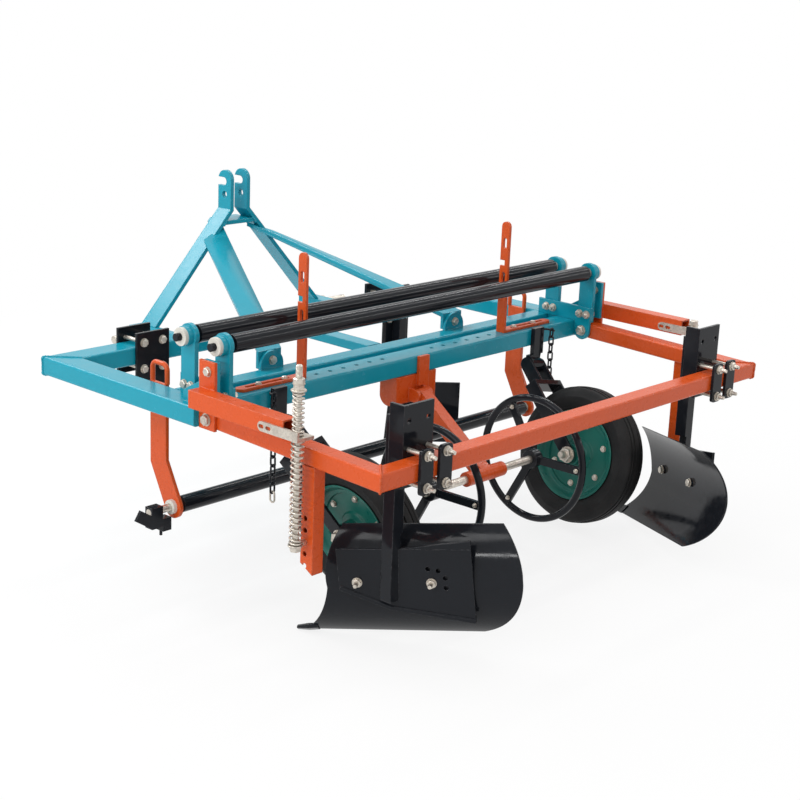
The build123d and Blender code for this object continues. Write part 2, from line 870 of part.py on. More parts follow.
def rear_frame():
    high = (pivot_z - arm_height / 2, pivot_z + arm_height / 2)
    core = (high[0] + arm_wall, high[1] - arm_wall)
    rear = -rear_reach
    beam_front = rear + arm_width
    mitre_arm = [(arm_in - 1, beam_front + 1), (arm_out + 1, rear - 1), (arm_in - 1, rear - 1)]
    mitre_beam = [(arm_in - 1, beam_front + 1), (arm_out + 1, rear - 1), (arm_out + 1, beam_front + 1)]
    arm = tube_block((arm_in, arm_out), (rear, pivot_y + arm_nose), high, Axis.Y)
    arm -= block((arm_in + arm_wall, arm_out - arm_wall), (rear + arm_wall, pivot_y + arm_nose), core)
    arm -= plate_xy(mitre_arm, (high[0] - 1, high[1] + 1))
    running = pivot_bolt + 2 * running_clearance
    arm -= rod_along_x((arm_in - 1, arm_out + 1), pivot_y, pivot_z, running)
    arm = tilt(arm)

    post_y = (spring_post_y - spring_post_depth / 2, spring_post_y + spring_post_depth / 2)
    post_low = top - spring_post_drop
    post_x = (arm_out - spring_post_width, arm_out)
    post = block(post_x, post_y, (post_low, pivot_z))
    post -= block(
        (post_x[0] + arm_wall, post_x[1] - arm_wall),
        (post_y[0] + arm_wall, post_y[1] - arm_wall),
        (post_low, pivot_z),
    )
    bevel = [(post_y[1], post_low), (post_y[1], post_low + spring_post_bevel), (post_y[0], post_low)]
    post -= plate_yz(bevel, (arm_in - 1, arm_out + 1))
    for i in range(post_hole_count):
        z = top - post_hole_first - i * post_hole_pitch
        post -= rod_along_x((arm_out - 2 * arm_wall, arm_out + 1), rod_y, z, post_hole)
    post -= tilt(block((arm_in - 1, arm_out + 1), (rear, 0), (high[0], high[1] + arm_height)))
    pair("rear_arm", arm + post)

    beam = tube_block((-arm_out, arm_out), (rear, beam_front), high, Axis.X)
    beam -= block((arm_wall - arm_out, arm_out - arm_wall), (rear + arm_wall, beam_front - arm_wall), core)
    for cut in both(plate_xy(mitre_beam, (high[0] - 1, high[1] + 1))):
        beam -= cut
    parts["rear_beam"] = tilt(beam)

    bolt_start, bolt_end = pivot_bolt_line()
    pin = bolt(bolt_start, bolt_end, pivot_bolt, rod_nut_across_flats)
    parts["pivot_bolts"] = Compound(children=both(pin))


# Spring gear: arm on each side, strap, threaded rod and springs of round wire.
def spring_gear():
    width = (-spring_plate_width, 0)
    arm = block((plate_in, plate_out), width, (top - spring_plate_drop, top + spring_plate_rise))
    rear_end = -spring_channel_front - spring_channel_length
    low = top + spring_channel_rise
    high = low + spring_channel_height
    arm += block((plate_out, channel_out), (rear_end, -spring_channel_front), (low, high))
    arm -= block(
        (plate_out + spring_channel_wall, channel_out - spring_channel_wall),
        (rear_end, -spring_channel_front - spring_channel_wall),
        (low + spring_channel_wall, high - spring_channel_wall),
    )
    arm -= bolt_hole(*spring_plate_bolt())
    arm -= rod_along_x((plate_in - 1, plate_out + 1), pivot_y, pivot_z, pivot_bolt + bolt_clearance)
    pair("spring_arm", arm)

    outer_strap = spring_strap(channel_out, channel_out + strap_thickness)
    inner_strap = spring_strap(plate_out, plate_out - strap_thickness)
    parts["spring_straps"] = Compound(children=[mirrored(outer_strap), inner_strap])

    pin_z = top - post_hole_first - (rod_pin_hole - 1) * post_hole_pitch
    seat = pin_z + rod_seat_rise
    upper_seat = strap_z + strap_eye_thickness
    nut_seat = top + rod_nut_rise
    parts["left_spring_rod"] = mirrored(spring_rod(seat, nut_seat, top + rod_rise))
    stop_seat = upper_seat + rod_stop_gap
    stop_end = stop_seat + washer_thickness + rod_nut_height + rod_tip
    parts["right_spring_rod"] = spring_rod(seat, stop_seat, stop_end)

    lower = spring(lower_spring_diameter, lower_spring_turns, strap_z - seat)
    upper = spring(upper_spring_diameter, upper_spring_turns, nut_seat - upper_seat)
    parts["left_springs"] = Compound(
        children=[Pos(-rod_x, rod_y, seat) * lower, Pos(-rod_x, rod_y, upper_seat) * upper]
    )
    parts["right_springs"] = Compound(children=[Pos(rod_x, rod_y, seat) * lower])


def spring_strap(face, back):
    # Slotted strap against one face of the spring arm's channel, with an eye plate behind its end.
    rear_end = -spring_channel_front - spring_channel_length
    eye_end = rod_y - strap_eye_margin
    strap_mid = strap_z + strap_height / 2
    round_y = -strap_start - strap_height / 2
    strap_face = Pos((eye_end + round_y) / 2, strap_mid) * Rectangle(round_y - eye_end, strap_height)
    strap_face += Pos(round_y, strap_mid) * Circle(strap_height / 2)
    for i in range(2):
        strap_face -= Pos(round_y - i * strap_slot_pitch, strap_mid) * SlotOverall(
            strap_slot_length, strap_slot_width
        )
    strap = plate_yz(strap_face, sorted((face, back)))
    eye_side = rod_x - strap_eye_margin if face > rod_x else rod_x + strap_eye_margin
    eye_z = (strap_z, strap_z + strap_eye_thickness)
    strap += block(sorted((face, eye_side)), (eye_end, rear_end), eye_z)
    return strap - rod_along_z(rod_x, rod_y, (strap_z - 1, strap_z + strap_eye_thickness + 1), strap_hole)


def spring_rod(seat, nut_seat, high):
    # Threaded rod on a cross pin, with a washer and nut under the spring and another pair above.
    foot_z = seat - washer_thickness - rod_nut_height
    rod = rod_along_z(rod_x, rod_y, (foot_z, high), rod_diameter)
    pin_end = rod_x - lower_spring_diameter / 2 - 1
    pin = post_hole - 2 * rod_pin_clearance
    rod += rod_along_x((arm_out - 2 * arm_wall, pin_end), rod_y, seat - rod_seat_rise, pin)
    rod += rod_along_z(rod_x, rod_y, (seat - washer_thickness, seat), washer_diameter)
    rod += rod_along_z(rod_x, rod_y, (nut_seat, nut_seat + washer_thickness), washer_diameter)
    for z in (foot_z, nut_seat + washer_thickness):
        rod += Pos(rod_x, rod_y, z) * extrude(hexagon(rod_nut_across_flats), rod_nut_height)
    return rod


def biarc(start, leave, end, arrive):
    # Two arcs that join two points with a given direction at each.
    chord = end - start
    both_ways = leave + arrive
    bend = 2 * (1 - leave.dot(arrive))
    reach = chord.dot(both_ways)
    step = (-reach + (reach * reach + bend * chord.dot(chord)) ** 0.5) / bend
    first = start + leave * step
    second = end - arrive * step
    middle = (first + second) * 0.5
    onward = (second - first).normalized()
    return [Edge.make_tangent_arc(start, leave, middle), Edge.make_tangent_arc(middle, onward, end)]


def spring(outer, turns, length):
    # Compression spring: a helix of arcs whose ends turn to stand square on their seats.
    radius = (outer - wire_diameter) / 2
    straight = wire_diameter
    lead = 2 * wire_diameter
    rise = length - 2 * straight - 2 * lead
    quarter = pi / 2
    steps = 4 * turns
    pitch = rise / turns
    slope = pitch / (2 * pi)

    def place(angle):
        return Vector(radius * cos(angle), radius * sin(angle), straight + lead + slope * angle)

    def heading(angle):
        return Vector(-radius * sin(angle), radius * cos(angle), slope).normalized()

    up = Vector(0, 0, 1)
    foot = Vector(radius * cos(quarter), -radius * sin(quarter), 0)
    shoulder = foot + up * straight
    edges = [Edge.make_line(foot, shoulder)] + biarc(shoulder, up, place(0), heading(0))
    for i in range(steps):
        here, there = i * quarter, (i + 1) * quarter
        edges += biarc(place(here), heading(here), place(there), heading(there))
    last = steps * quarter
    finish = Vector(radius * cos(last + quarter), radius * sin(last + quarter), length)
    edges += biarc(place(last), heading(last), finish - up * straight, up)
    edges.append(Edge.make_line(finish - up * straight, finish))
    path = Wire(edges)
    print("spring", outer, "least gap to itself", round(least_gap(path) - wire_diameter, 2))
    section = Plane(origin=foot, z_dir=up) * RegularPolygon(wire_diameter / 2, wire_sides)
    return sweep(section, path=path, clean=False)


def least_gap(path):
    # Least distance between points of the wire that lie more than half a turn apart along it.
    total = path.length
    spacing = wire_diameter / 2
    count = int(total / spacing)
    points = [path.position_at(i / count) for i in range(count + 1)]
    apart = int(6 * wire_diameter / spacing)
    near = int(8 * apart)
    least = total
    for i, a in enumerate(points):
        for b in points[i + apart : i + near]:
            least = min(least, (a - b).length)
    return least


# Soil boards on posts that clamp to the rear beam.
def beam_mid_z():
    # Height of the rear beam's middle, with the frame's tilt.
    back = rear_reach - arm_width / 2 + pivot_y
    return pivot_z - back * sin(radians(rear_tilt))


def board_studs():
    middle = beam_mid_z()
    away = arm_height / 2 + stud_gap + bolt_diameter / 2
    rear = -rear_reach - strip_thickness - strip_gap()
    front = -rear_reach + arm_width + post_angle_wall + strip_gap()
    spots = []
    for side in (-1, 1):
        for z in (middle - away, middle + away):
            x = board_x + side * stud_spread / 2
            spots.append(((x, rear, z), (x, front, z)))
    return spots


def strip_gap():
    # Room for the beam's tilt between its faces and the upright clamp plates.
    turn = radians(rear_tilt)
    return arm_height / 2 * sin(turn) + rear_reach * (1 - cos(turn))


def boards():
    middle = beam_mid_z()
    half_reach = arm_height / 2 + 2 * stud_gap + bolt_diameter
    rear_face = -rear_reach - strip_gap()
    front_face = -rear_reach + arm_width + strip_gap()
    clamps = []
    for side in (-1, 1):
        x = board_x + side * stud_spread / 2
        plate = block(
            (x - strip_width / 2, x + strip_width / 2),
            (rear_face - strip_thickness, rear_face),
            (middle - half_reach, middle + half_reach),
        )
        plate = fillet(plate.edges().filter_by(Axis.Y), strip_corner)
        for spot in board_studs():
            plate -= bolt_hole(*spot)
        clamps += both(plate)
    angle_x = (board_x - post_angle_width / 2, board_x + post_angle_width / 2)
    angle_z = (top - post_angle_drop, top + post_angle_rise)
    angle_front = front_face + post_angle_depth
    angle = block(angle_x, (front_face, angle_front), angle_z)
    angle -= block(
        (angle_x[0] + post_angle_wall, angle_x[1] + 1),
        (front_face + post_angle_wall, angle_front + 1),
        (angle_z[0] - 1, angle_z[1] + 1),
    )
    for start, end in board_studs():
        angle -= bolt_hole(start, end)
        if start[2] > middle:
            spare = (start[0], start[1], top + post_hole_rise)
            angle -= bolt_hole(spare, (end[0], end[1], spare[2]))
    clamps += [angle, Pos(-2 * board_x, 0, 0) * angle]
    parts["board_clamps"] = Compound(children=clamps)
    studs = []
    for start, end in board_studs():
        studs += both(bolt(start, end))

    pad_y = front_face + post_angle_wall
    bar_x = board_x + post_bar_shift
    post_y = pad_y + post_bar_pad + post_bar / 2
    place = board_place()
    middle = board_height / 2
    wing_u = place.to_local_coords(Vector(bar_x, post_y, middle)).X
    seat = board_bulge + board_thickness + wing_gap
    bolt_v = middle + wing_bolt_rise
    nut_w = board_bulge - board_sag(wing_bolt_rise + bolt_head_across_flats) - wing_gap
    bolt_lines = []
    for u in (wing_u - wing_front_bolt, wing_u + wing_rear_bolt):
        head = place.from_local_coords(Vector(u, bolt_v, -seat - wing_thickness))
        nut = place.from_local_coords(Vector(u, bolt_v, -nut_w))
        bolt_lines.append((tuple(head), tuple(nut)))

    board = board_shell()
    for line in bolt_lines:
        board -= bolt_hole(*line)
    pair("board", board)

    outline = [
        (wing_u - wing_front, middle + wing_top),
        (wing_u - wing_front, middle),
        (wing_u, middle - wing_drop),
        (wing_u + wing_rear, middle - wing_drop - wing_flare),
        (wing_u + wing_rear, middle + wing_top),
    ]
    wings = plate_xy(outline, (-seat - wing_thickness, -seat))
    for i in range(wing_holes):
        turn = radians(100 - i * wing_hole_step)
        u = wing_u + wing_rear_bolt + wing_hole_arc * cos(turn)
        wings -= rod_along_z(u, bolt_v + wing_hole_arc * sin(turn), (-2 * seat, 0), bolt_diameter)
    wings = place.location * wings
    for line in bolt_lines:
        wings -= bolt_hole(*line)
    post_x = (bar_x - post_bar / 2, bar_x + post_bar / 2)
    post_front = post_y + post_bar / 2
    post = block(post_x, (post_y - post_bar / 2, post_front), (post_bar_bottom, top + post_bar_rise))
    nut_corner = bolt_head_across_flats / 2 / cos(radians(30))
    pad_half = stud_spread / 2 - nut_corner - bracket_slot_gap
    pad_x = (board_x - pad_half, board_x + pad_half)
    post += block(pad_x, (pad_y, post_y), (angle_z[0], top + post_bar_rise))
    beside = block(
        (wing_u - wing_front, wing_u + wing_rear),
        (-board_height, board_height),
        (-seat, board_height),
    )
    pair("board_post", post - place.location * beside + wings)
    for line in bolt_lines:
        studs += both(bolt(*line))
    parts["board_studs"] = Compound(children=studs)


def board_sag(rise):
    # How far a board's curve falls back from its crown at this height above or below it.
    radius = (board_height**2 / 4 + board_bulge**2) / (2 * board_bulge)
    return radius - (radius**2 - rise**2) ** 0.5


def board_place():
    # Plane of a board's chord: x along the board, y up it and z inwards, with its rear end raised.
    lift = radians(board_pitch)
    along = Vector(
        -sin(radians(board_angle)) * cos(lift), -cos(radians(board_angle)) * cos(lift), sin(lift)
    )
    inward = (-cos(radians(board_angle)), sin(radians(board_angle)), 0)
    upright = Plane(origin=(board_front_x, board_front_y, 0), x_dir=along, z_dir=inward)
    lean = radians(board_lean)
    leaning_in = upright.z_dir * cos(lean) + upright.y_dir * sin(lean)
    return Plane(origin=upright.origin, x_dir=along, z_dir=leaning_in)


def board_shell():
    # Sheet curved about its length, trimmed to a swept front edge with a tip and a round rear edge.
    low, mid, high = 0, board_height / 2, board_height
    near = board_bulge
    far = board_bulge + board_thickness
    skin = Wire(
        [
            *ThreePointArc((low, 0), (mid, -near), (high, 0)).edges(),
            Edge.make_line((high, 0), (high, -board_thickness)),
            *ThreePointArc((high, -board_thickness), (mid, -far), (low, -board_thickness)).edges(),
            Edge.make_line((low, -board_thickness), (low, 0)),
        ]
    )
    tip = -board_tip_length
    nose = board_tip_height
    shell = extrude(Plane.YZ.offset(tip) * Face(skin), board_length - tip, dir=(1, 0, 0))
    lower_nose = (board_front_mid * 0.6, mid * 0.45)
    upper_nose = (board_front_mid * 1.1, mid * 1.62)
    peak = board_height * board_rear_peak
    outline = Wire(
        [
            Edge.make_line((tip, low), (tip, nose)),
            Edge.make_line((tip, nose), (0, nose)),
            *ThreePointArc((0, nose), lower_nose, (board_front_mid, mid)).edges(),
            *ThreePointArc((board_front_mid, mid), upper_nose, (board_front_rake, high)).edges(),
            Edge.make_line((board_front_rake, high), (board_rear_top, high)),
            *ThreePointArc((board_rear_top, high), (board_length, peak), (board_rear_low, low)).edges(),
            Edge.make_line((board_rear_low, low), (tip, low)),
        ]
    )
    shell &= extrude(Plane.XY.offset(-2 * far) * Face(outline), 4 * far, dir=(0, 0, 1))
    return board_place().location * shell


# Press wheels: cambered forks on hinge posts under the cross beam.
def camber(shape):
    # Moves a wheel part from its upright place at the hinge to its cambered place.
    return Pos(wheel_hinge_x, wheel_hinge_y, top - wheel_hinge_drop) * Rot(0, wheel_camber, 0) * shape


def press_wheels():
    hinge_z = top - wheel_hinge_drop
    lug_in, lug_out = hinge_gap / 2, hinge_gap / 2 + fork_bar_thickness
    fork_in, fork_out = fork_gap / 2, fork_gap / 2 + fork_bar_thickness
    tube_half = lug_in - body_clearance
    above = fork_bar_width / 2 + lug_out * sin(radians(wheel_camber)) + bracket_slot_gap
    post_y = (-wheel_post_thickness, 0)
    post = block(
        (wheel_post_x - wheel_post_width / 2, wheel_post_x + wheel_post_width / 2),
        post_y,
        (hinge_z + above, top + wheel_post_rise),
    )
    post += camber(rod_along_x((-tube_half, tube_half), 0, 0, wheel_hinge_diameter))
    neck = camber(block((-tube_half, tube_half), (-axle_back, axle_back), (0, 2 * above)))
    neck &= block((0, half), post_y, (hinge_z, hinge_z + above))
    post += neck
    hook_z = top - chain_drop
    hook_y = -wheel_post_thickness / 2
    hook_line = FilletPolyline(
        (wheel_post_x, hook_y, hook_z),
        (chain_x, hook_y, hook_z),
        (chain_x, chain_y - chain_link_width / 2, hook_z),
        radius=chain_hook_bend,
    )
    hook_face = Plane(origin=(wheel_post_x, hook_y, hook_z), z_dir=(1, 0, 0)) * Circle(chain_hook / 2)
    post += sweep(hook_face, path=hook_line)
    running = wheel_hinge_pin + 2 * running_clearance
    post -= camber(rod_along_x((-fork_gap, fork_gap), 0, 0, running))
    pair("wheel_post", post)

    bar_end = (-axle_back, -axle_down)
    length = hypot(*bar_end)
    before = (yoke_run - fork_bar_thickness) / length
    after = (yoke_run + fork_bar_thickness) / length
    yoke_start = (before * bar_end[0], before * bar_end[1])
    yoke_end = (after * bar_end[0], after * bar_end[1])
    lug = polygon(strip([(0, 0), yoke_end], fork_bar_width)) + Circle(fork_bar_width / 2)
    yoke = polygon(strip([yoke_start, yoke_end], fork_bar_width))
    bar = polygon(strip([yoke_start, bar_end], fork_bar_width))
    bar += Pos(*bar_end) * Circle(fork_bar_width / 2)
    fork = plate_yz(yoke, (-fork_out, fork_out))
    for side in (-1, 1):
        fork += plate_yz(lug, sorted((side * lug_in, side * lug_out)))
        fork += plate_yz(bar, sorted((side * fork_in, side * fork_out)))
    fork += rod_along_x((-lug_out, lug_out), 0, 0, wheel_hinge_pin)
    reach = fork_out + axle_overhang
    fork += rod_along_x((-reach, reach), *bar_end, axle_diameter)
    pair("wheel_fork", camber(fork))

    hub = Pos(0, *bar_end) * Rot(0, 90, 0)
    rim = hub * wheel_rim()
    tyre = hub * wheel_tyre()
    pair("rim", camber(rim))
    pair("tyre", camber(tyre))


def wheel_rim():
    # Rim turned about its axle: lips, well, disc and hub.
    wide = rim_width / 2
    seat = rim_radius - rim_lip
    well = seat - rim_lip
    disc = rim_disc_offset
    hub = wheel_hub_diameter / 2
    bore = axle_diameter / 2 + running_clearance
    long = wheel_hub_length / 2
    outline = [
        (bore, -long),
        (hub, -long),
        (hub, disc - rim_disc),
        (well - rim_disc, disc - rim_disc),
        (well - rim_disc, -wide / 2),
        (rim_radius, -wide),
        (rim_radius, rim_disc - wide),
        (seat, rim_disc - wide),
        (well, -wide / 2),
        (well, wide / 2),
        (seat, wide - rim_disc),
        (rim_radius, wide - rim_disc),
        (rim_radius, wide),
        (well - rim_disc, wide / 2),
        (well - rim_disc, disc),
        (hub, disc),
        (hub, long),
        (bore, long),
    ]
    return revolve(Plane.XZ * polygon(outline), axis=Axis.Z)


def wheel_tyre():
    # Solid-section tyre that sits between the rim's lips, with a crowned tread.
    wide = tyre_width / 2
    seat = rim_radius - rim_lip + 2 * bush_seat
    bead = rim_width / 2 - rim_disc - bush_seat
    wall = (rim_radius + tyre_radius) / 2
    half_section = [
        (seat, bead),
        (rim_radius + 2, bead),
        (wall - tyre_crown, wide - tyre_crown / 4),
        (wall + tyre_crown, wide),
        (tyre_radius - 2 * tyre_crown, wide - tyre_crown / 2),
        (tyre_radius - tyre_crown / 2, wide / 2),
        (tyre_radius, wide / 6),
    ]
    outline = half_section + [(r, -w) for r, w in half_section[::-1]]
    return revolve(Plane.XZ * polygon(outline), axis=Axis.Z)


# Centre bracket, carrier and ring wheels.
def ring_wheels():
    hinge_z = top - ring_hinge_drop
    axle_z = top - ring_axle_drop
    bracket = block(
        (-bracket_half_width, bracket_half_width), (0, bracket_plate), (under - bracket_drop, under)
    )
    cheek_mid = bracket_cheek_depth / 2
    cheek_drop = bracket_cheek_drop - cheek_mid
    cheek = Pos(cheek_mid, under - cheek_drop / 2) * Rectangle(bracket_cheek_depth, cheek_drop)
    cheek += Pos(cheek_mid, under - cheek_drop) * Circle(cheek_mid)
    for piece in both(plate_yz(cheek, (bracket_half_width - bracket_plate, bracket_half_width))):
        bracket += piece
    bracket += block(
        (bracket_tab_x - bracket_tab_width / 2, bracket_tab_x + bracket_tab_width / 2),
        (-bracket_plate, 0),
        (under - bracket_drop, top),
    )
    lug_face = Pos(ring_hinge_y, hinge_z) * Circle(ring_lug_radius)
    lug_face += Pos(ring_hinge_y / 2, hinge_z) * Rectangle(-ring_hinge_y, 2 * ring_lug_radius)
    lug_in = carrier_width / 2 + body_clearance
    for piece in both(plate_yz(lug_face, (lug_in, lug_in + ring_lug_thickness))):
        bracket += piece
    lug_rear = ring_hinge_y - ring_lug_radius
    slot_z = (under - bracket_drop - 1, hinge_z + carrier_depth / 2 + bracket_slot_gap)
    bracket -= block((-lug_in, lug_in), (lug_rear, 0), slot_z)
    bracket += rod_along_x((-lug_in, lug_in), ring_hinge_y, hinge_z, ring_hinge_pin)
    parts["centre_bracket"] = bracket

    line = [(ring_hinge_y, hinge_z), (ring_axle_y, axle_z)]
    face = polygon(strip(line, carrier_depth))
    face += Pos(ring_hinge_y, hinge_z) * Circle(carrier_depth / 2 - 1)
    carrier = plate_yz(face, (-carrier_width / 2, carrier_width / 2))
    carrier += rod_along_x((-ring_tube_half, ring_tube_half), ring_axle_y, axle_z, ring_tube_diameter)
    running = ring_hinge_pin + 2 * running_clearance
    carrier -= rod_along_x((-carrier_width, carrier_width), ring_hinge_y, hinge_z, running)
    hub_out = ring_x + ring_hub_width / 2
    carrier -= rod_along_x((-hub_out, hub_out), ring_axle_y, axle_z, ring_axle_diameter + 2 * bush_seat)
    parts["ring_carrier"] = carrier
    reach = hub_out + axle_end
    parts["ring_axle"] = rod_along_x((-reach, reach), ring_axle_y, axle_z, ring_axle_diameter)
    pair("ring_wheel", Pos(ring_x, ring_axle_y, axle_z) * ring_wheel())


def ring_wheel():
    # Hoop of round bar on flat spokes about a hub, turned about the x axis.
    hoop_face = Plane.XY * Pos(0, ring_radius) * RegularPolygon(ring_bar / 2, 8)
    wheel = revolve(hoop_face, axis=Axis.X)
    wheel += rod_along_x((-ring_hub_width / 2, ring_hub_width / 2), 0, 0, ring_hub_diameter)
    for i in range(ring_spokes):
        turn = ring_spoke_start + i * 360 / ring_spokes
        spoke = block(
            (-ring_spoke_thickness / 2, ring_spoke_thickness / 2),
            (0, ring_radius),
            (-ring_spoke_width / 2, ring_spoke_width / 2),
        )
        wheel += Rot(turn, 0, 0) * spoke
    bore = ring_axle_diameter + 2 * running_clearance
    return wheel - rod_along_x((-ring_hub_width, ring_hub_width), 0, 0, bore)


# Chains of flat-sided links, each link turned a quarter from the one before.
def link_outline(length, width):
    # Long eight-sided ring outline.
    cut = width / 3
    x, y = length / 2, width / 2
    corners = [(x, y - cut), (x - cut, y), (cut - x, y), (-x, y - cut)]
    return polygon(corners + [(-a, -b) for a, b in corners])


def chain_link(mid, across):
    # Upright link whose hole faces along across.
    inside = link_outline(chain_link_length - 2 * chain_wire, chain_link_width - 2 * chain_wire)
    ring = link_outline(chain_link_length, chain_link_width) - inside
    ring = extrude(ring, chain_wire / 2, both=True)
    return Plane(origin=mid, x_dir=(0, 0, 1), z_dir=across).location * ring


def chains():
    pitch = chain_link_length - 2 * chain_wire - chain_slack
    hang = chain_link_length / 2 - chain_wire - chain_slack - chain_hook / 2
    first = top - chain_drop - hang
    for name, x, count in (("left", -chain_x, left_chain_links), ("right", chain_x, right_chain_links)):
        links = []
        for i in range(count):
            across = (1, 0, 0) if i % 2 else (0, 1, 0)
            links.append(chain_link((x, chain_y, first - i * pitch), across))
        parts[name + "_chain"] = Compound(children=links)


# Frame bolts that show: roller brackets, brace feet, spring arm plates and opener clamps.
def frame_bolts():
    spots = bracket_bolts() + clamp_bolts() + [spring_plate_bolt()]
    bolts = [bolt(*brace_bolt(side)) for side in (-1, 1)]
    for start, end in spots:
        bolts += both(bolt(start, end))
    parts["frame_bolts"] = Compound(children=bolts)


def main():
    frame_beams()
    hitch()
    openers()
    top_rollers()
    lower_roller()
    film_arms()
    rear_frame()
    spring_gear()
    boards()
    press_wheels()
    ring_wheels()
    chains()
    frame_bolts()
    os.makedirs("parts", exist_ok=True)
    for name, shape in parts.items():
        export_step(Pos(0, -hitch_y, -hitch_z) * shape, "parts/" + name + ".step")


main()
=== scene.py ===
"""Detail pieces, finishes and stage for a tractor-mounted mulch film layer."""

import functools
import json
import math

import bmesh
import bpy
import numpy as np
from bpy.props import FloatProperty, FloatVectorProperty, IntProperty, PointerProperty
from mathutils import Matrix, Vector
from mathutils.bvhtree import BVHTree


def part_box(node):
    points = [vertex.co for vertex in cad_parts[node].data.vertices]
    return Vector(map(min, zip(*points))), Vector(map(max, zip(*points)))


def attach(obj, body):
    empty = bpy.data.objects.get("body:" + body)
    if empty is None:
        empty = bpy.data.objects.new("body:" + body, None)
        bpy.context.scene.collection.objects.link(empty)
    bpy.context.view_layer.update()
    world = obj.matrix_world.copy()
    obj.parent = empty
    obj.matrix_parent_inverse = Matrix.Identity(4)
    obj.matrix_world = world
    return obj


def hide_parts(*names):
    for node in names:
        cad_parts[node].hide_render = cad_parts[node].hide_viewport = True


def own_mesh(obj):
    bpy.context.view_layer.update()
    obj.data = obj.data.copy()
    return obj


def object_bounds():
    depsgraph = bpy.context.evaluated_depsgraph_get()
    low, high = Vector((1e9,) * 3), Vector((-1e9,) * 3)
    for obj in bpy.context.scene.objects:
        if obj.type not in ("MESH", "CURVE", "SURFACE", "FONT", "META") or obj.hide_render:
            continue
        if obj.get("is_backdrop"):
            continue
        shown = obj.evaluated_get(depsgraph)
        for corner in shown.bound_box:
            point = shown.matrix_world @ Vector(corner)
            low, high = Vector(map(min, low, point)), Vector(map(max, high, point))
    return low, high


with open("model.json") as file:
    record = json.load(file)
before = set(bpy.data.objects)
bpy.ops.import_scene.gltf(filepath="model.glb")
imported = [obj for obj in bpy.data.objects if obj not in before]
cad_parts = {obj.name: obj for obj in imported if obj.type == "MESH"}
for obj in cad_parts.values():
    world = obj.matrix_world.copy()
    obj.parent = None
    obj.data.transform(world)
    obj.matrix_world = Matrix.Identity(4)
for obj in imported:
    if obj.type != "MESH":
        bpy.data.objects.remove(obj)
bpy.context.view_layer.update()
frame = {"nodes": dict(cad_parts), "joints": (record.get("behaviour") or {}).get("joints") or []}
NODES = frame["nodes"]
JOINTS = {joint["name"]: joint for joint in frame["joints"]}
SLOT_OF = {name: node.data.materials[0].name.split(".")[0] for name, node in NODES.items()}
SIDES = ("left", "right")
SAME, LEVEL = 1e-6, 0.001  # Points this close, in metres, are one, or lie on one level
SHANK_SHARE = 0.3  # Radius of a small bolt's shank over the size across its flats

bl_info = {
    "name": "Mulch film layer",
    "version": (1, 0, 0),
    "blender": (4, 5, 0),
    "location": "3D View > Sidebar > Film layer",
    "description": "Dresses the packed solids of a mulch film layer",
    "category": "Object",
}


# User settings


def colour(description, default):
    """A colour setting with the swatch shown as paint looks under plain light."""
    return FloatVectorProperty(
        description=description, subtype="COLOR", size=3, min=0, max=1, default=default
    )


def length(description, default):
    """A length setting in metres."""
    return FloatProperty(description=description, unit="LENGTH", min=0, precision=4, default=default)


def turns(description, least, most, default):
    """A number of spring turns, with its limits."""
    return FloatProperty(description=description, min=least, max=most, default=default)


class FilmLayerColours(bpy.types.PropertyGroup):
    """Paint and metal colours."""

    frame_blue: colour("Paint of the main frame and the mast", (0.004, 0.285, 0.385))
    arm_orange: colour("Paint of the arms and the rear frame", (0.61, 0.079, 0.010))
    gloss_black: colour("Paint of the rollers and the boards", (0.0105, 0.0120, 0.0155))
    rim_green: colour("Paint of the wheel rims", (0.006, 0.125, 0.098))
    zinc: colour("Plating of the bolts, springs and rods", (0.64, 0.59, 0.52))
    nylon: colour("Bearing bushes", (0.68, 0.66, 0.60))
    rubber: colour("Tyres", (0.0075, 0.0077, 0.0082))
    floor: colour("Pale studio floor", (0.80, 0.80, 0.80))


class FilmLayerSizes(bpy.types.PropertyGroup):
    """Sizes of the detail pieces."""

    spring_wire: length("Diameter of the spring wire", 0.005)
    lower_turns: turns("Turns of each lower spring", 3, 40, 20)
    upper_turns: turns("Turns of each upper spring", 3, 40, 10)
    closed_turns: turns("Turns closed up at each spring end", 0, 2, 1)
    rod: length("Diameter of the spring rods", 0.016)
    rod_nut: length("Size across the flats of the spring rods' nuts", 0.024)
    rod_washer: length("Radius of the spring rods' washers", 0.018)
    thread_pitch: length("Pitch of the rods' thread", 0.0024)
    link_wire: length("Wire diameter of the chain links", 0.0052)
    tread_depth: length("Depth of the grooves round the tyres", 0.005)
    rim_bolts: IntProperty(description="Bolts round each rim's disc", min=3, max=12, default=6)
    rim_bolt: length("Size across the flats of the rim bolts", 0.014)
    rim_lip: length("Radius of the rims' rolled lips", 0.131)
    rim_disc: length("Half thickness of the rims' discs", 0.008)
    axle_nut: length("Size across the flats of the press wheels' axle nuts", 0.036)
    hoop_bar: length("Diameter of the ring wheels' round bar", 0.020)
    spoke_bolt: length("Size across the flats of the ring wheels' bolts", 0.010)
    foot_bolt: length("Size across the flats of the bolts in the film arms' feet", 0.013)
    wing_rise: length("Rise of a wing plate's top edge towards its rear end", 0.021)
    wing_fold: length("Width of the fold along a wing plate's lower edge", 0.011)
    board_nose: length("Length of the nose on each soil board's tip", 0.052)
    brace_width: length("Width of the mast braces' flat bars", 0.080)
    brace_mitre: length("Lead of a brace head's inner corner over its outer one", 0.034)
    brace_twist: FloatProperty(
        description="Turn of each mast brace's upper end towards its leg's outer face",
        subtype="ANGLE",
        min=0,
        max=math.radians(40),
        default=math.radians(17),
    )
    weld_width: length("Width of the weld beads", 0.007)
    weld_pitch: length("Distance between the ripples of a weld bead", 0.0042)


def colours():
    """The colour settings of the scene."""
    return bpy.context.scene.film_layer_colours


def sizes():
    """The size settings of the scene."""
    return bpy.context.scene.film_layer_sizes


# Node helpers


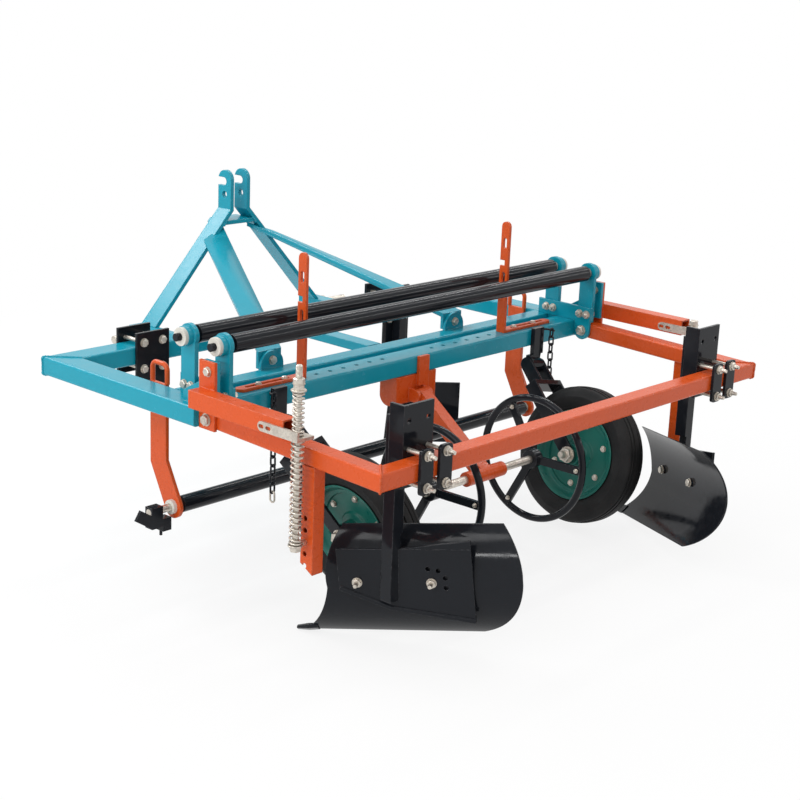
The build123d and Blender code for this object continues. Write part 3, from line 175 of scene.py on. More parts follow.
def fill(tree, node, values):
    """Links a node's inputs to sockets, or sets them to plain values."""
    for key, value in values.items():
        if isinstance(value, bpy.types.NodeSocket):
            tree.links.new(value, node.inputs[key])
        else:
            node.inputs[key].default_value = value


def add_node(tree, kind, values=None, **options):
    """Adds a node, sets its options, then fills its inputs."""
    made = tree.nodes.new(kind)
    for key, value in options.items():
        setattr(made, key, value)
    fill(tree, made, values or {})
    return made


def put(tree, kind, output, values=None, **options):
    """One output of a new node."""
    return add_node(tree, kind, values, **options).outputs[output]


def maths(tree, operation, first, second=0.0, third=0.0):
    """The output of a Math node."""
    return put(tree, "ShaderNodeMath", 0, {0: first, 1: second, 2: third}, operation=operation)


def spread(tree, value, low, high, to_low=0.0, to_high=1.0):
    """The output of a clamped Map Range node."""
    values = {0: value, 1: low, 2: high, 3: to_low, 4: to_high}
    return put(tree, "ShaderNodeMapRange", 0, values, clamp=True)


def noise(tree, place, scale, detail):
    """A noise value at a place."""
    values = {"Vector": place, "Scale": scale, "Detail": detail}
    return put(tree, "ShaderNodeTexNoise", "Fac", values)


def blend(tree, share, first, second):
    """A colour between two colours."""
    return put(tree, "ShaderNodeMix", 2, {0: share, 6: first, 7: second}, data_type="RGBA")


def shaded(tree, tone, value):
    """A colour made darker or brighter."""
    return put(tree, "ShaderNodeHueSaturation", "Color", {"Color": tone, "Value": value})


def seen_rays(tree):
    """One for rays from the camera and for mirrored or passed rays, and zero for the light's own."""
    rays = add_node(tree, "ShaderNodeLightPath").outputs
    seen = maths(tree, "MAXIMUM", rays["Is Camera Ray"], rays["Is Glossy Ray"])
    return maths(tree, "MAXIMUM", seen, rays["Is Transmission Ray"])


def upward(tree, height):
    """A vector along z."""
    return put(tree, "ShaderNodeCombineXYZ", "Vector", {"Z": height})


def raised(tree, geometry, height):
    """Geometry moved along z."""
    values = {"Geometry": geometry, "Offset": upward(tree, height)}
    return put(tree, "GeometryNodeSetPosition", "Geometry", values)


def circle(tree, sides, radius):
    """A circle curve."""
    values = {"Resolution": sides, "Radius": radius}
    return put(tree, "GeometryNodeCurvePrimitiveCircle", "Curve", values)


def tube(tree, curve, section):
    """A section drawn along a curve, with closed ends."""
    values = {"Curve": curve, "Profile Curve": section, "Fill Caps": True}
    return put(tree, "GeometryNodeCurveToMesh", "Mesh", values)


def named(tree, name, kind):
    """A named attribute of the points."""
    return put(tree, "GeometryNodeInputNamedAttribute", "Attribute", {"Name": name}, data_type=kind)


def joined(tree, *parts, kind="GeometryNodeJoinGeometry"):
    """Parts linked in turn to a node that takes any number of them."""
    made = tree.nodes.new(kind)
    for part in parts:
        tree.links.new(part, made.inputs[0])
    return made.outputs[0]


def shared(name, kind, inputs, outputs):
    """Turns a function that lays out nodes into one that gives their group, made at the first call.

    An input is named with its default value, or with its kind where it has none. The function gets
    the tree and the group's inputs, and gives back what goes to the group's outputs.
    """
    kinds = {float: "Float", int: "Int", tuple: "Color"}

    def wrap(build):
        @functools.wraps(build)
        def group():
            tree = bpy.data.node_groups.get(name)
            if tree:
                return tree
            tree = bpy.data.node_groups.new(name, kind)
            for direction, sockets in (("INPUT", inputs), ("OUTPUT", outputs)):
                for label, default in sockets.items():
                    socket = "NodeSocket" + kinds.get(type(default), str(default))
                    made = tree.interface.new_socket(label, in_out=direction, socket_type=socket)
                    if not isinstance(default, str):
                        made.default_value = default
            given = tree.nodes.new("NodeGroupInput").outputs
            fill(tree, tree.nodes.new("NodeGroupOutput"), build(tree, given))
            return tree

        return group

    return wrap


def growth(name, inputs):
    """The same for Geometry Nodes: the function's geometry is made real and given its finish."""
    geometry = {"Geometry": "Geometry"}

    def wrap(build):
        @shared(name, "GeometryNodeTree", {**geometry, **inputs, "Finish": "Material"}, geometry)
        @functools.wraps(build)
        def ended(tree, given):
            grown_parts = {"Geometry": build(tree, given)}
            real = put(tree, "GeometryNodeRealizeInstances", "Geometry", grown_parts)
            values = {"Geometry": real, "Material": given["Finish"]}
            return {"Geometry": put(tree, "GeometryNodeSetMaterial", "Geometry", values)}

        return ended

    return wrap


# Finishes


@shared(
    "Paint film",
    "ShaderNodeTree",
    {
        "Colour": (0.5, 0.5, 0.5, 1.0), "Rubbed Colour": (0.8, 0.8, 0.8, 1.0), "Roughness": 0.3,
        "Edge Radius": 0.003, "Rubbing": 0.4, "Drift": 0.1,
    },
    {"Colour": "Color", "Roughness": "Float", "Height": "Float", "Edge Normal": "Vector"},
)
def paint_film(tree, given):
    """Sprayed paint: faint colour drift, orange-peel height, softened edges and rubbed corners, whose
    lighter colour is wear and, on the black paint, also painted edge highlight.
    """
    place = put(tree, "ShaderNodeTexCoord", "Object")
    mottle = noise(tree, place, 42.0, 5.0)
    soft = put(tree, "ShaderNodeBevel", "Normal", {"Radius": given["Edge Radius"]}, samples=6)
    flat = put(tree, "ShaderNodeNewGeometry", "Normal")
    likeness = put(tree, "ShaderNodeVectorMath", "Value", {0: soft, 1: flat}, operation="DOT_PRODUCT")
    edge = spread(tree, likeness, 0.985, 0.80)
    # Lighter colour on patches along the edges: rubbed wear, and on the black paint painted edge
    # highlight too
    scuff_and_highlight_patches = spread(tree, noise(tree, place, 95.0, 6.0), 0.42, 0.66)
    rubbed = maths(tree, "MULTIPLY", maths(tree, "MULTIPLY", edge, scuff_and_highlight_patches), given["Rubbing"])
    broad = maths(tree, "MULTIPLY", noise(tree, place, 5.0, 3.0), 0.65)
    drift = maths(tree, "SUBTRACT", maths(tree, "MULTIPLY_ADD", mottle, 0.35, broad), 0.5)
    shift = maths(tree, "MULTIPLY_ADD", drift, given["Drift"], 1.0)
    rough = maths(tree, "ADD", given["Roughness"], spread(tree, mottle, 0.3, 0.7, -0.05, 0.06))
    return {
        "Colour": blend(tree, rubbed, shaded(tree, given["Colour"], shift), given["Rubbed Colour"]),
        "Roughness": maths(tree, "MULTIPLY_ADD", rubbed, 0.25, rough),
        "Height": noise(tree, place, 320.0, 2.0),
        "Edge Normal": soft,
    }


@shared(
    "Zinc skin",
    "ShaderNodeTree",
    {
        "Colour": (0.6, 0.6, 0.6, 1.0), "Dull Colour": (0.3, 0.28, 0.25, 1.0),
        "Dullness": 0.4, "Roughness": 0.35,
    },
    {"Colour": "Color", "Roughness": "Float", "Height": "Float"},
)
def metal_skin(tree, given):
    """Zinc plating: crystals, dull patches and fine scratches."""
    place = put(tree, "ShaderNodeTexCoord", "Object")
    crystal = put(tree, "ShaderNodeTexVoronoi", "Color", {"Vector": place, "Scale": 240.0})
    sparkle = add_node(tree, "ShaderNodeSeparateColor", {"Color": crystal}).outputs
    bright = shaded(tree, given["Colour"], spread(tree, sparkle[0], 0.0, 1.0, 0.82, 1.1))
    patch = spread(tree, noise(tree, place, 55.0, 6.0), 0.45, 0.72)
    dull = maths(tree, "MULTIPLY", patch, given["Dullness"])
    rough = maths(tree, "MULTIPLY_ADD", dull, 0.35, given["Roughness"])
    return {
        "Colour": blend(tree, dull, bright, given["Dull Colour"]),
        "Roughness": maths(tree, "ADD", rough, spread(tree, sparkle[1], 0.0, 1.0, -0.06, 0.06)),
        "Height": noise(tree, place, 700.0, 2.0),
    }


def rgba(value):
    """A colour setting as four numbers."""
    return (*value, 1.0)


def grouped(group, values):
    """A look that a shared node group gives."""
    return lambda tree: add_node(tree, "ShaderNodeGroup", values, node_tree=group()).outputs


def coated(name, look, bumps, sheen):
    """A material with a look's colour, roughness and height.

    The bumps are set on its Bump node, and the sheen on its Principled shader.
    """
    made = bpy.data.materials.new(name)
    made.use_nodes = True
    tree = made.node_tree
    seen = look(tree)
    bump = add_node(tree, "ShaderNodeBump", {"Height": seen["Height"], **bumps})
    if "Edge Normal" in seen:
        fill(tree, bump, {"Normal": seen["Edge Normal"]})
    surface = {"Base Color": seen["Colour"], "Roughness": seen["Roughness"]}
    surface["Normal"] = bump.outputs["Normal"]
    fill(tree, tree.nodes["Principled BSDF"], {**surface, **sheen})
    return made


def painted(name, paint, rubbed, rough, drift, rubbing, edge, peel, shine):
    """A sprayed finish in one colour."""
    # The rubbed colour and rubbing give edge wear and, on the black paint, painted edge highlight
    values = {"Colour": rgba(paint), "Rubbed Colour": rgba(rubbed), "Roughness": rough}
    values |= {"Edge Radius": edge, "Rubbing": rubbing, "Drift": drift}
    bumps = {"Strength": peel, "Distance": 0.0004}
    return coated(name, grouped(paint_film, values), bumps, {"Specular IOR Level": shine})


def plated(name, bright, dull, dullness, rough):
    """A zinc plated steel finish."""
    values = {"Colour": rgba(bright), "Dull Colour": rgba(dull)}
    values |= {"Dullness": dullness, "Roughness": rough}
    bumps = {"Strength": 0.12, "Distance": 0.0003}
    return coated(name, grouped(metal_skin, values), bumps, {"Metallic": 0.85})


def moulded(name, tone, dusty, rough, grain, dust, shine):
    """A matt moulded finish, for rubber and nylon, with dust in its grain."""

    def look(tree):
        place = put(tree, "ShaderNodeTexCoord", "Object")
        cloud = spread(tree, noise(tree, place, 16.0, 6.0), 0.4, 0.75)
        fine = noise(tree, place, grain, 3.0)
        return {
            "Colour": blend(tree, maths(tree, "MULTIPLY", cloud, dust), rgba(tone), rgba(dusty)),
            "Roughness": spread(tree, fine, 0.3, 0.7, rough - 0.08, rough + 0.08),
            "Height": fine,
        }

    return coated(name, look, {"Strength": 0.25, "Distance": 0.0006}, {"Specular IOR Level": shine})


# Colour setting, rubbed and highlight colour, roughness, drift, rubbing and highlight amount, edge
# radius, peel and shine of each paint
PAINTS = {
    "blue": ("frame_blue", (0.30, 0.50, 0.55), 0.22, 0.16, 0.35, 0.0035, 0.03, 0.28),
    "orange": ("arm_orange", (0.85, 0.42, 0.28), 0.28, 0.14, 0.35, 0.0035, 0.03, 0.30),
    # The black's pale grey rubbed colour and high rubbing paint edge highlights on the boards as well as
    # wear
    "black": ("gloss_black", (0.15, 0.15, 0.16), 0.11, 0.35, 0.5, 0.0028, 0.02, 0.17),
    "green": ("rim_green", (0.16, 0.36, 0.30), 0.32, 0.25, 0.4, 0.0020, 0.03, 0.32),
}
# Colour setting, dusty colour, roughness, grain, dust and shine of each moulding
MOULDINGS = {
    "nylon": ("nylon", (0.42, 0.40, 0.34), 0.50, 520.0, 0.5, 0.5),
    "tyre": ("rubber", (0.026, 0.0255, 0.025), 0.66, 420.0, 0.6, 0.24),
}


def finish(slot):
    """The material of a slot, made at its first use."""
    name = "Finish " + slot
    found = bpy.data.materials.get(name)
    if found:
        return found
    if slot == "zinc":
        return plated(name, colours().zinc, (0.30, 0.27, 0.23), dullness=0.45, rough=0.36)
    make, table = (painted, PAINTS) if slot in PAINTS else (moulded, MOULDINGS)
    setting, *look = table[slot]
    return make(name, getattr(colours(), setting), *look)


# Mesh helpers


def seat_piece(name, mesh, body, slot, stands_for=(), sharp=35.0):
    """Makes a piece of a finished mesh, smooths it between sharp edges and sets it on its body."""
    piece = bpy.data.objects.new(name, mesh)
    bpy.context.scene.collection.objects.link(piece)
    if not mesh.materials:
        mesh.materials.append(finish(slot))
    mesh.shade_smooth()
    mesh.set_sharp_from_angle(angle=math.radians(sharp))
    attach(piece, body)
    if stands_for:
        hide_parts(*stands_for)
    return piece


def seat_shape(name, shape, body, slot, stands_for=(), sharp=35.0):
    """Makes a piece of a bmesh: doubles merged, faces turned outwards."""
    bmesh.ops.remove_doubles(shape, verts=shape.verts, dist=SAME)
    bmesh.ops.recalc_face_normals(shape, faces=shape.faces)
    mesh = bpy.data.meshes.new(name)
    shape.to_mesh(mesh)
    shape.free()
    return seat_piece(name, mesh, body, slot, stands_for, sharp)


def band(shape, here, there):
    """Adds the faces between two closed rows of points."""
    for i in range(len(here)):
        j = (i + 1) % len(here)
        shape.faces.new((here[i], here[j], there[j], there[i]))


def turn_outline(shape, outline, place, steps):
    """Adds a closed outline of (radius, along) pairs, turned about the place's z axis."""
    rings = []
    for step in range(steps):
        angle = 2 * math.pi * step / steps
        across, up = math.cos(angle), math.sin(angle)
        rings.append([shape.verts.new(place @ Vector((r * across, r * up, z))) for r, z in outline])
    for step in range(steps):
        band(shape, rings[step], rings[(step + 1) % steps])


def loft(shape, sections):
    """Joins like sections in a row and closes both ends."""
    rows = [[shape.verts.new(spot) for spot in section] for section in sections]
    for here, there in zip(rows, rows[1:]):
        band(shape, here, there)
    shape.faces.new(rows[0])
    shape.faces.new(rows[-1])


def facing(origin, axis, across=(0, 0, 1)):
    """A matrix at origin whose z axis runs along axis, with its x axis square to across."""
    z = Vector(axis).normalized()
    x = Vector(across).cross(z).normalized()
    made = Matrix((x, z.cross(x), z)).transposed().to_4x4()
    made.translation = Vector(origin)
    return made


def offsets(radius, along, pairs):
    """Points of a section, listed in millimetres from a radius and a level."""
    return [(radius + r / 1000, along + z / 1000) for r, z in pairs]


def both_faces(half):
    """A half section of (radius, along) pairs and its mirror image, as one closed outline."""
    return half + [(r, -z) for r, z in half[::-1]]


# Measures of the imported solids


def welded(node):
    """A copy of a CAD node's mesh with its doubles merged."""
    shape = bmesh.new()
    shape.from_mesh(NODES[node].data)
    bmesh.ops.remove_doubles(shape, verts=shape.verts, dist=SAME)
    return shape


def solids(node):
    """Points and face normals of each separate solid in a CAD node."""
    shape = welded(node)
    seen, found = set(), []
    for start in shape.verts:
        if start in seen:
            continue
        seen.add(start)
        group, queue, faces = [], [start], {}
        while queue:
            vert = queue.pop()
            group.append(vert)
            faces.update(dict.fromkeys(vert.link_faces))
            for edge in vert.link_edges:
                other = edge.other_vert(vert)
                if other not in seen:
                    seen.add(other)
                    queue.append(other)
        found.append((np.array([v.co[:] for v in group]), np.array([f.normal[:] for f in faces])))
    shape.free()
    return found


def bolt_spots(node, nut_side=None):
    """Head seat, nut seat, axis and size of each bolt solid in a CAD node.

    The axis runs from the head to the nut. The nut is the thicker end, or lies on the nut side.
    """
    corners_to_flats = 0.866
    spots = []
    for points, normals in solids(node):
        middle = (points.max(axis=0) + points.min(axis=0)) / 2
        rough = np.linalg.svd(points - points.mean(axis=0), full_matrices=False)[2][0]
        axis = normals[np.argmax(np.abs(normals @ rough))]
        along = (points - middle) @ axis
        levels = np.unique(np.round(along, 5))
        first, last = levels[1] - levels[0], levels[-1] - levels[-2]
        end = points[along < levels[0] + 1e-4]
        low_end = end.mean(axis=0)
        low, high = low_end + axis * first, low_end + axis * (levels[-2] - levels[0])
        across = 2 * np.linalg.norm(end - low_end, axis=1).max() * corners_to_flats
        nut_last = first <= last if nut_side is None else axis @ np.array(nut_side) > 0
        spots.append((low, high, axis, across) if nut_last else (high, low, -axis, across))
    return spots


def turned_reach(node, place):
    """Least radius, greatest radius and half width of a turned CAD node about the place's z axis."""
    back = place.inverted()
    spots = np.array([(back @ vert.co)[:] for vert in NODES[node].data.vertices])
    radii = np.hypot(spots[:, 0], spots[:, 1])
    return radii.min(), radii.max(), np.abs(spots[:, 2]).max()


def seams(node, base):
    """Sharp edges of one CAD node that lie on the skin of another, as point pairs."""
    near, sharp = 0.0007, math.radians(30)
    skin = NODES[base].data
    tree = BVHTree.FromPolygons(
        [vert.co[:] for vert in skin.vertices], [face.vertices[:] for face in skin.polygons]
    )
    shape = welded(node)
    pairs = []
    for edge in shape.edges:
        if edge.calc_face_angle(0.0) < sharp:
            continue
        first, last = (vert.co.copy() for vert in edge.verts)
        if all(tree.find_nearest(spot, near)[0] for spot in (first, (first + last) / 2, last)):
            pairs.append((first, last))
    shape.free()
    return pairs


# Geometry Nodes


@growth(
    "Wound coil",
    {
        "Radius": 0.0135, "Wire": 0.005, "Length": 0.25, "Turns": 20.0, "Closed Turns": 1.0,
        "Wire Sides": 10, "Steps": 28,
    },
)
def coil_tree(tree, given):
    """A round wire wound about z from the ground up, with closed turns at both ends."""
    winding = {"Resolution": given["Steps"], "Rotations": given["Turns"], "Height": 0.0}
    winding |= {"Start Radius": given["Radius"], "End Radius": given["Radius"]}
    spiral = put(tree, "GeometryNodeCurveSpiral", "Curve", winding)
    share = put(tree, "GeometryNodeSplineParameter", "Factor")
    end = maths(tree, "DIVIDE", given["Closed Turns"], given["Turns"])
    other = maths(tree, "SUBTRACT", 1.0, end)
    rise = maths(tree, "MULTIPLY", given["Closed Turns"], given["Wire"])
    free = maths(tree, "SUBTRACT", given["Length"], given["Wire"])
    free = maths(tree, "SUBTRACT", free, maths(tree, "MULTIPLY", rise, 2.0))
    radius = maths(tree, "MULTIPLY", given["Wire"], 0.5)
    height = radius
    for start, stop, climb in ((0.0, end, rise), (end, other, free), (other, 1.0, rise)):
        height = maths(tree, "ADD", height, spread(tree, share, start, stop, 0.0, climb))
    return tube(tree, raised(tree, spiral, height), circle(tree, given["Wire Sides"], radius))


@growth(
    "Hex bolts",
    {
        "Shank": 0.006, "Head Height": 0.36, "Nut Height": 0.44, "Washer": 0.66, "Thread End": 0.30,
        "Seed": 7,
    },
)
def bolt_tree(tree, given):
    """Hex heads, nuts with thread ends, washers and shanks on points joined head to nut.

    The shank's radius is in metres. All other sizes are shares of the size across the flats.
    """
    plate, chamfer, corner, crown_scale = 0.10, 0.07, 0.577, 0.83

    def hexagon(height):
        straight = maths(tree, "SUBTRACT", height, chamfer)
        body = {"Vertices": 6, "Radius": corner, "Depth": straight}
        body = put(tree, "GeometryNodeMeshCylinder", "Mesh", body)
        body = raised(tree, body, maths(tree, "MULTIPLY_ADD", height, 0.5, plate - chamfer / 2))
        normal = put(tree, "GeometryNodeInputNormal", "Normal")
        up = put(tree, "ShaderNodeSeparateXYZ", "Z", {"Vector": normal})
        top = {"Selection": maths(tree, "GREATER_THAN", up, 0.9), "Offset Scale": chamfer}
        crown = add_node(tree, "GeometryNodeExtrudeMesh", {"Mesh": body, **top, "Individual": False})
        narrowed = {"Geometry": crown.outputs["Mesh"], "Selection": crown.outputs["Top"]}
        narrowed["Scale"] = crown_scale
        return put(tree, "GeometryNodeScaleElements", "Geometry", narrowed)

    washer = {"Vertices": 20, "Radius": given["Washer"], "Depth": plate}
    washer = raised(tree, put(tree, "GeometryNodeMeshCylinder", "Mesh", washer), plate / 2)
    tip = {"Vertices": 14, "Radius Top": 0.25, "Radius Bottom": 0.315, "Depth": given["Thread End"]}
    tip = put(tree, "GeometryNodeMeshCone", "Mesh", tip)
    tip = raised(tree, tip, maths(tree, "ADD", given["Nut Height"], plate))
    head = joined(tree, washer, hexagon(given["Head Height"]))
    nut = joined(tree, washer, hexagon(given["Nut Height"]), tip)
    both = joined(tree, nut, head, kind="GeometryNodeGeometryToInstance")
    axis = {"Vector": named(tree, "axis", "FLOAT_VECTOR")}
    turned = put(tree, "FunctionNodeAlignRotationToVector", "Rotation", axis, axis="Z")
    chance = put(tree, "FunctionNodeRandomValue", 1, {"Seed": given["Seed"]}, data_type="FLOAT")
    twist = upward(tree, maths(tree, "MULTIPLY", chance, math.pi / 3))
    spin = {"Rotation": turned, "Rotate By": twist}
    places = {
        "Points": given["Geometry"],
        "Instance": both,
        "Pick Instance": True,
        "Instance Index": named(tree, "kind", "INT"),
        "Rotation": put(tree, "FunctionNodeRotateRotation", "Rotation", spin, rotation_space="LOCAL"),
        "Scale": named(tree, "across", "FLOAT"),
    }
    placed = put(tree, "GeometryNodeInstanceOnPoints", "Instances", places)
    line = put(tree, "GeometryNodeMeshToCurve", "Curve", {"Mesh": given["Geometry"]})
    return joined(tree, tube(tree, line, circle(tree, 14, given["Shank"])), placed)


@growth("Chain links", {"Length": 0.034, "Width": 0.020, "Wire": 0.005})
def link_tree(tree, given):
    """Round-wire chain links on points, each turned by its own angle about z."""
    bend = maths(tree, "MULTIPLY", maths(tree, "SUBTRACT", given["Width"], given["Wire"]), 0.5)
    half = maths(tree, "MULTIPLY", maths(tree, "SUBTRACT", given["Length"], given["Width"]), 0.5)
    upright = {"Geometry": circle(tree, 20, bend), "Rotation": (math.pi / 2, 0, math.pi / 40)}
    upright = put(tree, "GeometryNodeTransform", "Geometry", upright)
    spot = put(tree, "GeometryNodeInputPosition", "Position")
    height = put(tree, "ShaderNodeSeparateXYZ", "Z", {"Vector": spot})
    oval = raised(tree, upright, maths(tree, "MULTIPLY", maths(tree, "SIGN", height), half))
    places = {
        "Points": given["Geometry"],
        "Instance": tube(tree, oval, circle(tree, 8, maths(tree, "MULTIPLY", given["Wire"], 0.5))),
        "Rotation": upward(tree, named(tree, "turn", "FLOAT")),
    }
    return put(tree, "GeometryNodeInstanceOnPoints", "Instances", places)


@growth("Weld beads", {"Width": 0.007, "Pitch": 0.004, "Seed": 3})
def weld_tree(tree, given):
    """Weld beads: overlapping drops of uneven size along the edges of the mesh."""
    line = put(tree, "GeometryNodeMeshToCurve", "Curve", {"Mesh": given["Geometry"]})
    drops = {"Curve": line, "Length": given["Pitch"]}
    drops = add_node(tree, "GeometryNodeCurveToPoints", drops, mode="LENGTH").outputs
    limits = {2: 0.85, 3: 1.15, "Seed": given["Seed"]}
    chance = put(tree, "FunctionNodeRandomValue", 1, limits, data_type="FLOAT")
    ball = {"Segments": 8, "Rings": 5, "Radius": 0.5}
    places = {
        "Points": drops["Points"],
        "Instance": put(tree, "GeometryNodeMeshUVSphere", "Mesh", ball),
        "Rotation": drops["Rotation"],
        "Scale": maths(tree, "MULTIPLY", chance, given["Width"]),
    }
    return put(tree, "GeometryNodeInstanceOnPoints", "Instances", places)


def seed_mesh(name, points=(), edges=()):
    """A mesh of points and edges for a tree to work on."""
    mesh = bpy.data.meshes.new(name + "_seed")
    mesh.from_pydata(points, edges, [])
    return mesh


def give(mesh, name, kind, values):
    """Gives each point of a mesh its value of a named attribute."""
    key = "vector" if kind == "FLOAT_VECTOR" else "value"
    mesh.attributes.new(name, kind, "POINT").data.foreach_set(key, values)


def grown(name, tree, mesh, values):
    """Runs a tree on a mesh with its named inputs set, and gives back the plain mesh."""
    source = bpy.data.objects.new(name, mesh)
    bpy.context.scene.collection.objects.link(source)
    modifier = source.modifiers.new("Grow", "NODES")
    modifier.node_group = tree
    for item in tree.interface.items_tree:
        if item.item_type == "SOCKET" and item.in_out == "INPUT" and item.name in values:
            modifier[item.identifier] = values[item.name]
    ready = source.evaluated_get(bpy.context.evaluated_depsgraph_get())
    made = bpy.data.meshes.new_from_object(ready)
    made.name = name
    source.modifiers.remove(modifier)
    bpy.data.objects.remove(source)
    if not made.polygons:
        raise RuntimeError(name + " came out empty")
    return made


def seat_bolts(name, spots, shank, body, stands_for=(), looks=None):
    """One piece of all the bolts whose head seat, nut seat, axis and size are listed.

    A spot with no nut seat is a head alone. The listed axis runs from the head to the nut.
    """
    points, edges, axes, across, kinds = [], [], [], [], []
    for head, nut, axis, size in spots:
        ends = [(head, -1, 0)] if nut is None else [(head, -1, 0), (nut, 1, 1)]
        if nut is not None:
            edges.append((len(points), len(points) + 1))
        for seat, sense, kind in ends:
            points.append(tuple(seat))
            axes.extend(sense * np.array(axis, float))
            across.append(size)
            kinds.append(kind)
    mesh = seed_mesh(name, points, edges)
    give(mesh, "axis", "FLOAT_VECTOR", axes)
    give(mesh, "across", "FLOAT", across)
    give(mesh, "kind", "INT", kinds)
    values = {"Shank": shank, "Finish": finish("zinc"), **(looks or {})}
    seat_piece(name, grown(name, bolt_tree(), mesh, values), body, "zinc", stands_for, 28)


# Operators, one for each piece or group of like pieces


class FILMLAYER_OT_finishes(bpy.types.Operator):
    """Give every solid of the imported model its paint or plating"""

    bl_idname = "film_layer.finishes"
    bl_label = "Finishes"

    def execute(self, context):
        for name, node in NODES.items():
            node.data.materials[0] = finish(SLOT_OF[name])
        return {"FINISHED"}


class FILMLAYER_OT_springs(bpy.types.Operator):
    """Wind the springs from round wire, with closed ends"""

    bl_idname = "film_layer.springs"
    bl_label = "Springs"

    def execute(self, context):
        size = sizes()
        joint = JOINTS["rear_frame_lift"]
        seats = {item["node"]: item["fixed_end_z_m"] for item in joint["deforming_nodes"]}
        for side in SIDES:
            node = side + "_springs"
            for points, _normals in solids(node):
                low, high = points.min(axis=0), points.max(axis=0)
                middle, radius = (low + high) / 2, (high[0] - low[0]) / 2
                lower = low[2] < seats[node] + LEVEL
                name = side + ("_lower_spring" if lower else "_upper_spring")
                values = {
                    "Radius": radius - size.spring_wire / 2,
                    "Wire": size.spring_wire,
                    "Length": high[2] - low[2],
                    "Turns": size.lower_turns if lower else size.upper_turns,
                    "Closed Turns": size.closed_turns,
                    "Finish": finish("zinc"),
                }
                coil = grown(name, coil_tree(), seed_mesh(name), values)
                coil.transform(Matrix.Translation((middle[0], middle[1], low[2])))
                piece = seat_piece(name, coil, "rear_frame", "zinc", [node])
                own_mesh(piece)
        return {"FINISHED"}

    def kept(self, joint, seat, level, room):
        """Share of its height over the seat at which a spring meets its strap at full lift.

        The strap stays level while the rod leans with the frame, so the spring's rim needs room.
        """
        lean = math.radians(joint["range_deg"][1])
        turn = Matrix.Rotation(lean, 3, Vector(joint["axis"]))
        pivot = Vector(joint["pos_m"])
        lifted = pivot + turn @ (seat - pivot)
        reach = (level - lifted.z) / math.cos(lean) + room * math.tan(lean)
        return reach / (level - seat.z)


class FILMLAYER_OT_spring_rods(bpy.types.Operator):
    """Thread the spring rods and give them chamfered nuts and washers"""

    bl_idname = "film_layer.spring_rods"
    bl_label = "Spring rods"

    def execute(self, context):
        size = sizes()
        washer, plate, bevel, rim_gap = size.rod_washer, 0.004, 0.0008, 0.0005
        r, axis_gap, pin, pin_gap = size.rod / 2, 0.0001, 0.0076, 0.017
        first_nut, lock_nut, thread_start, unthreaded = 0.0025, 0.0165, 0.017, 0.019
        thread_depth, thread_wire = size.thread_pitch * 0.3, size.thread_pitch * 0.75
        core = r - thread_depth
        for side, sign in zip(SIDES, (-1, 1)):
            node = side + "_spring_rod"
            low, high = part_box(node)
            coil_low, coil_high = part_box(side + "_springs")
            x, y = (coil_low.x + coil_high.x) / 2, (coil_low.y + coil_high.y) / 2
            seat, nut_seat = self.seats(node, x, y, sign, washer - rim_gap)
            shape, place = bmesh.new(), Matrix.Translation((x, y, 0))
            rod = [(axis_gap, low.z), *offsets(r, low.z, [(-1, 0), (0, 1)])]
            rod += offsets(r, nut_seat, [(0, -20)]) + offsets(core, nut_seat, [(0, -18)])
            rod += [*offsets(core, high.z, [(0, -2), (-2, 0)]), (axis_gap, high.z)]
            turn_outline(shape, rod, place, 32)
            for z0, z1 in ((seat - plate, seat), (nut_seat, nut_seat + plate)):
                ring = [(r, z0), (washer - bevel, z0), (washer, z0 + bevel)]
                ring += [(washer, z1 - bevel), (washer - bevel, z1), (r, z1)]
                turn_outline(shape, ring, place, 36)
            inner = low.x if sign > 0 else high.x
            reach = abs(x - sign * pin_gap - inner)
            stub = [(axis_gap, 0), (pin, 0), (pin, reach), (axis_gap, reach)]
            turn_outline(shape, stub, facing((inner, y, seat - plate / 2), (sign, 0, 0)), 24)
            threaded = high.z - nut_seat - unthreaded
            values = {
                "Radius": core,
                "Wire": thread_wire,
                "Length": threaded,
                "Turns": threaded / size.thread_pitch,
                "Closed Turns": 0.0,
                "Wire Sides": 4,
                "Steps": 20,
                "Finish": finish("zinc"),
            }
            thread = grown(node + "_thread", coil_tree(), seed_mesh(node), values)
            thread.transform(Matrix.Translation((x, y, nut_seat + thread_start)))
            shape.from_mesh(thread)
            bpy.data.meshes.remove(thread)
            seat_shape(node + "_turned", shape, "rear_frame", "zinc", [node], 32)
            down, up = (0, 0, -1), (0, 0, 1)
            nuts = [(nut_seat + first_nut, down), (nut_seat + lock_nut, down)]
            nuts.append((seat - first_nut, up))
            spots = [((x, y, z), None, axis, size.rod_nut) for z, axis in nuts]
            looks = {"Head Height": 0.50, "Washer": 0.60}
            seat_bolts(node + "_nuts", spots, r, "rear_frame", (), looks)
        return {"FINISHED"}

    def seats(self, node, x, y, sign, rim):
        """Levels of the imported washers' inner faces, read from their outer rims."""
        levels = {
            round(vert.co.z, 5)
            for vert in NODES[node].data.vertices
            if math.hypot(vert.co.x - x, vert.co.y - y) > rim and sign * (vert.co.x - x) > 0
        }
        return sorted(levels)[1:3]


class FILMLAYER_OT_chains(bpy.types.Operator):
    """Hang the two chains link by link in round wire"""

    bl_idname = "film_layer.chains"
    bl_label = "Chains"

    def execute(self, context):
        for side in SIDES:
            node = side + "_chain"
            links = []
            for points, _normals in solids(node):
                low, high = points.min(axis=0), points.max(axis=0)
                span = high - low
                links.append((tuple((low + high) / 2), 0.0 if span[0] > span[1] else math.pi / 2))
            links.sort(key=lambda link: -link[0][2])
            looks = {"Length": span[2], "Width": max(span[:2]), "Wire": sizes().link_wire}
            for name, slot, row in (
                (node + "_links", "black", links[:-1]),
                (node + "_end_link", "zinc", links[-1:]),
            ):
                seed = seed_mesh(name, [spot for spot, _turn in row])
                give(seed, "turn", "FLOAT", [turn for _spot, turn in row])
                mesh = grown(name, link_tree(), seed, {**looks, "Finish": finish(slot)})
                seat_piece(name, mesh, node, slot, [node])
        return {"FINISHED"}


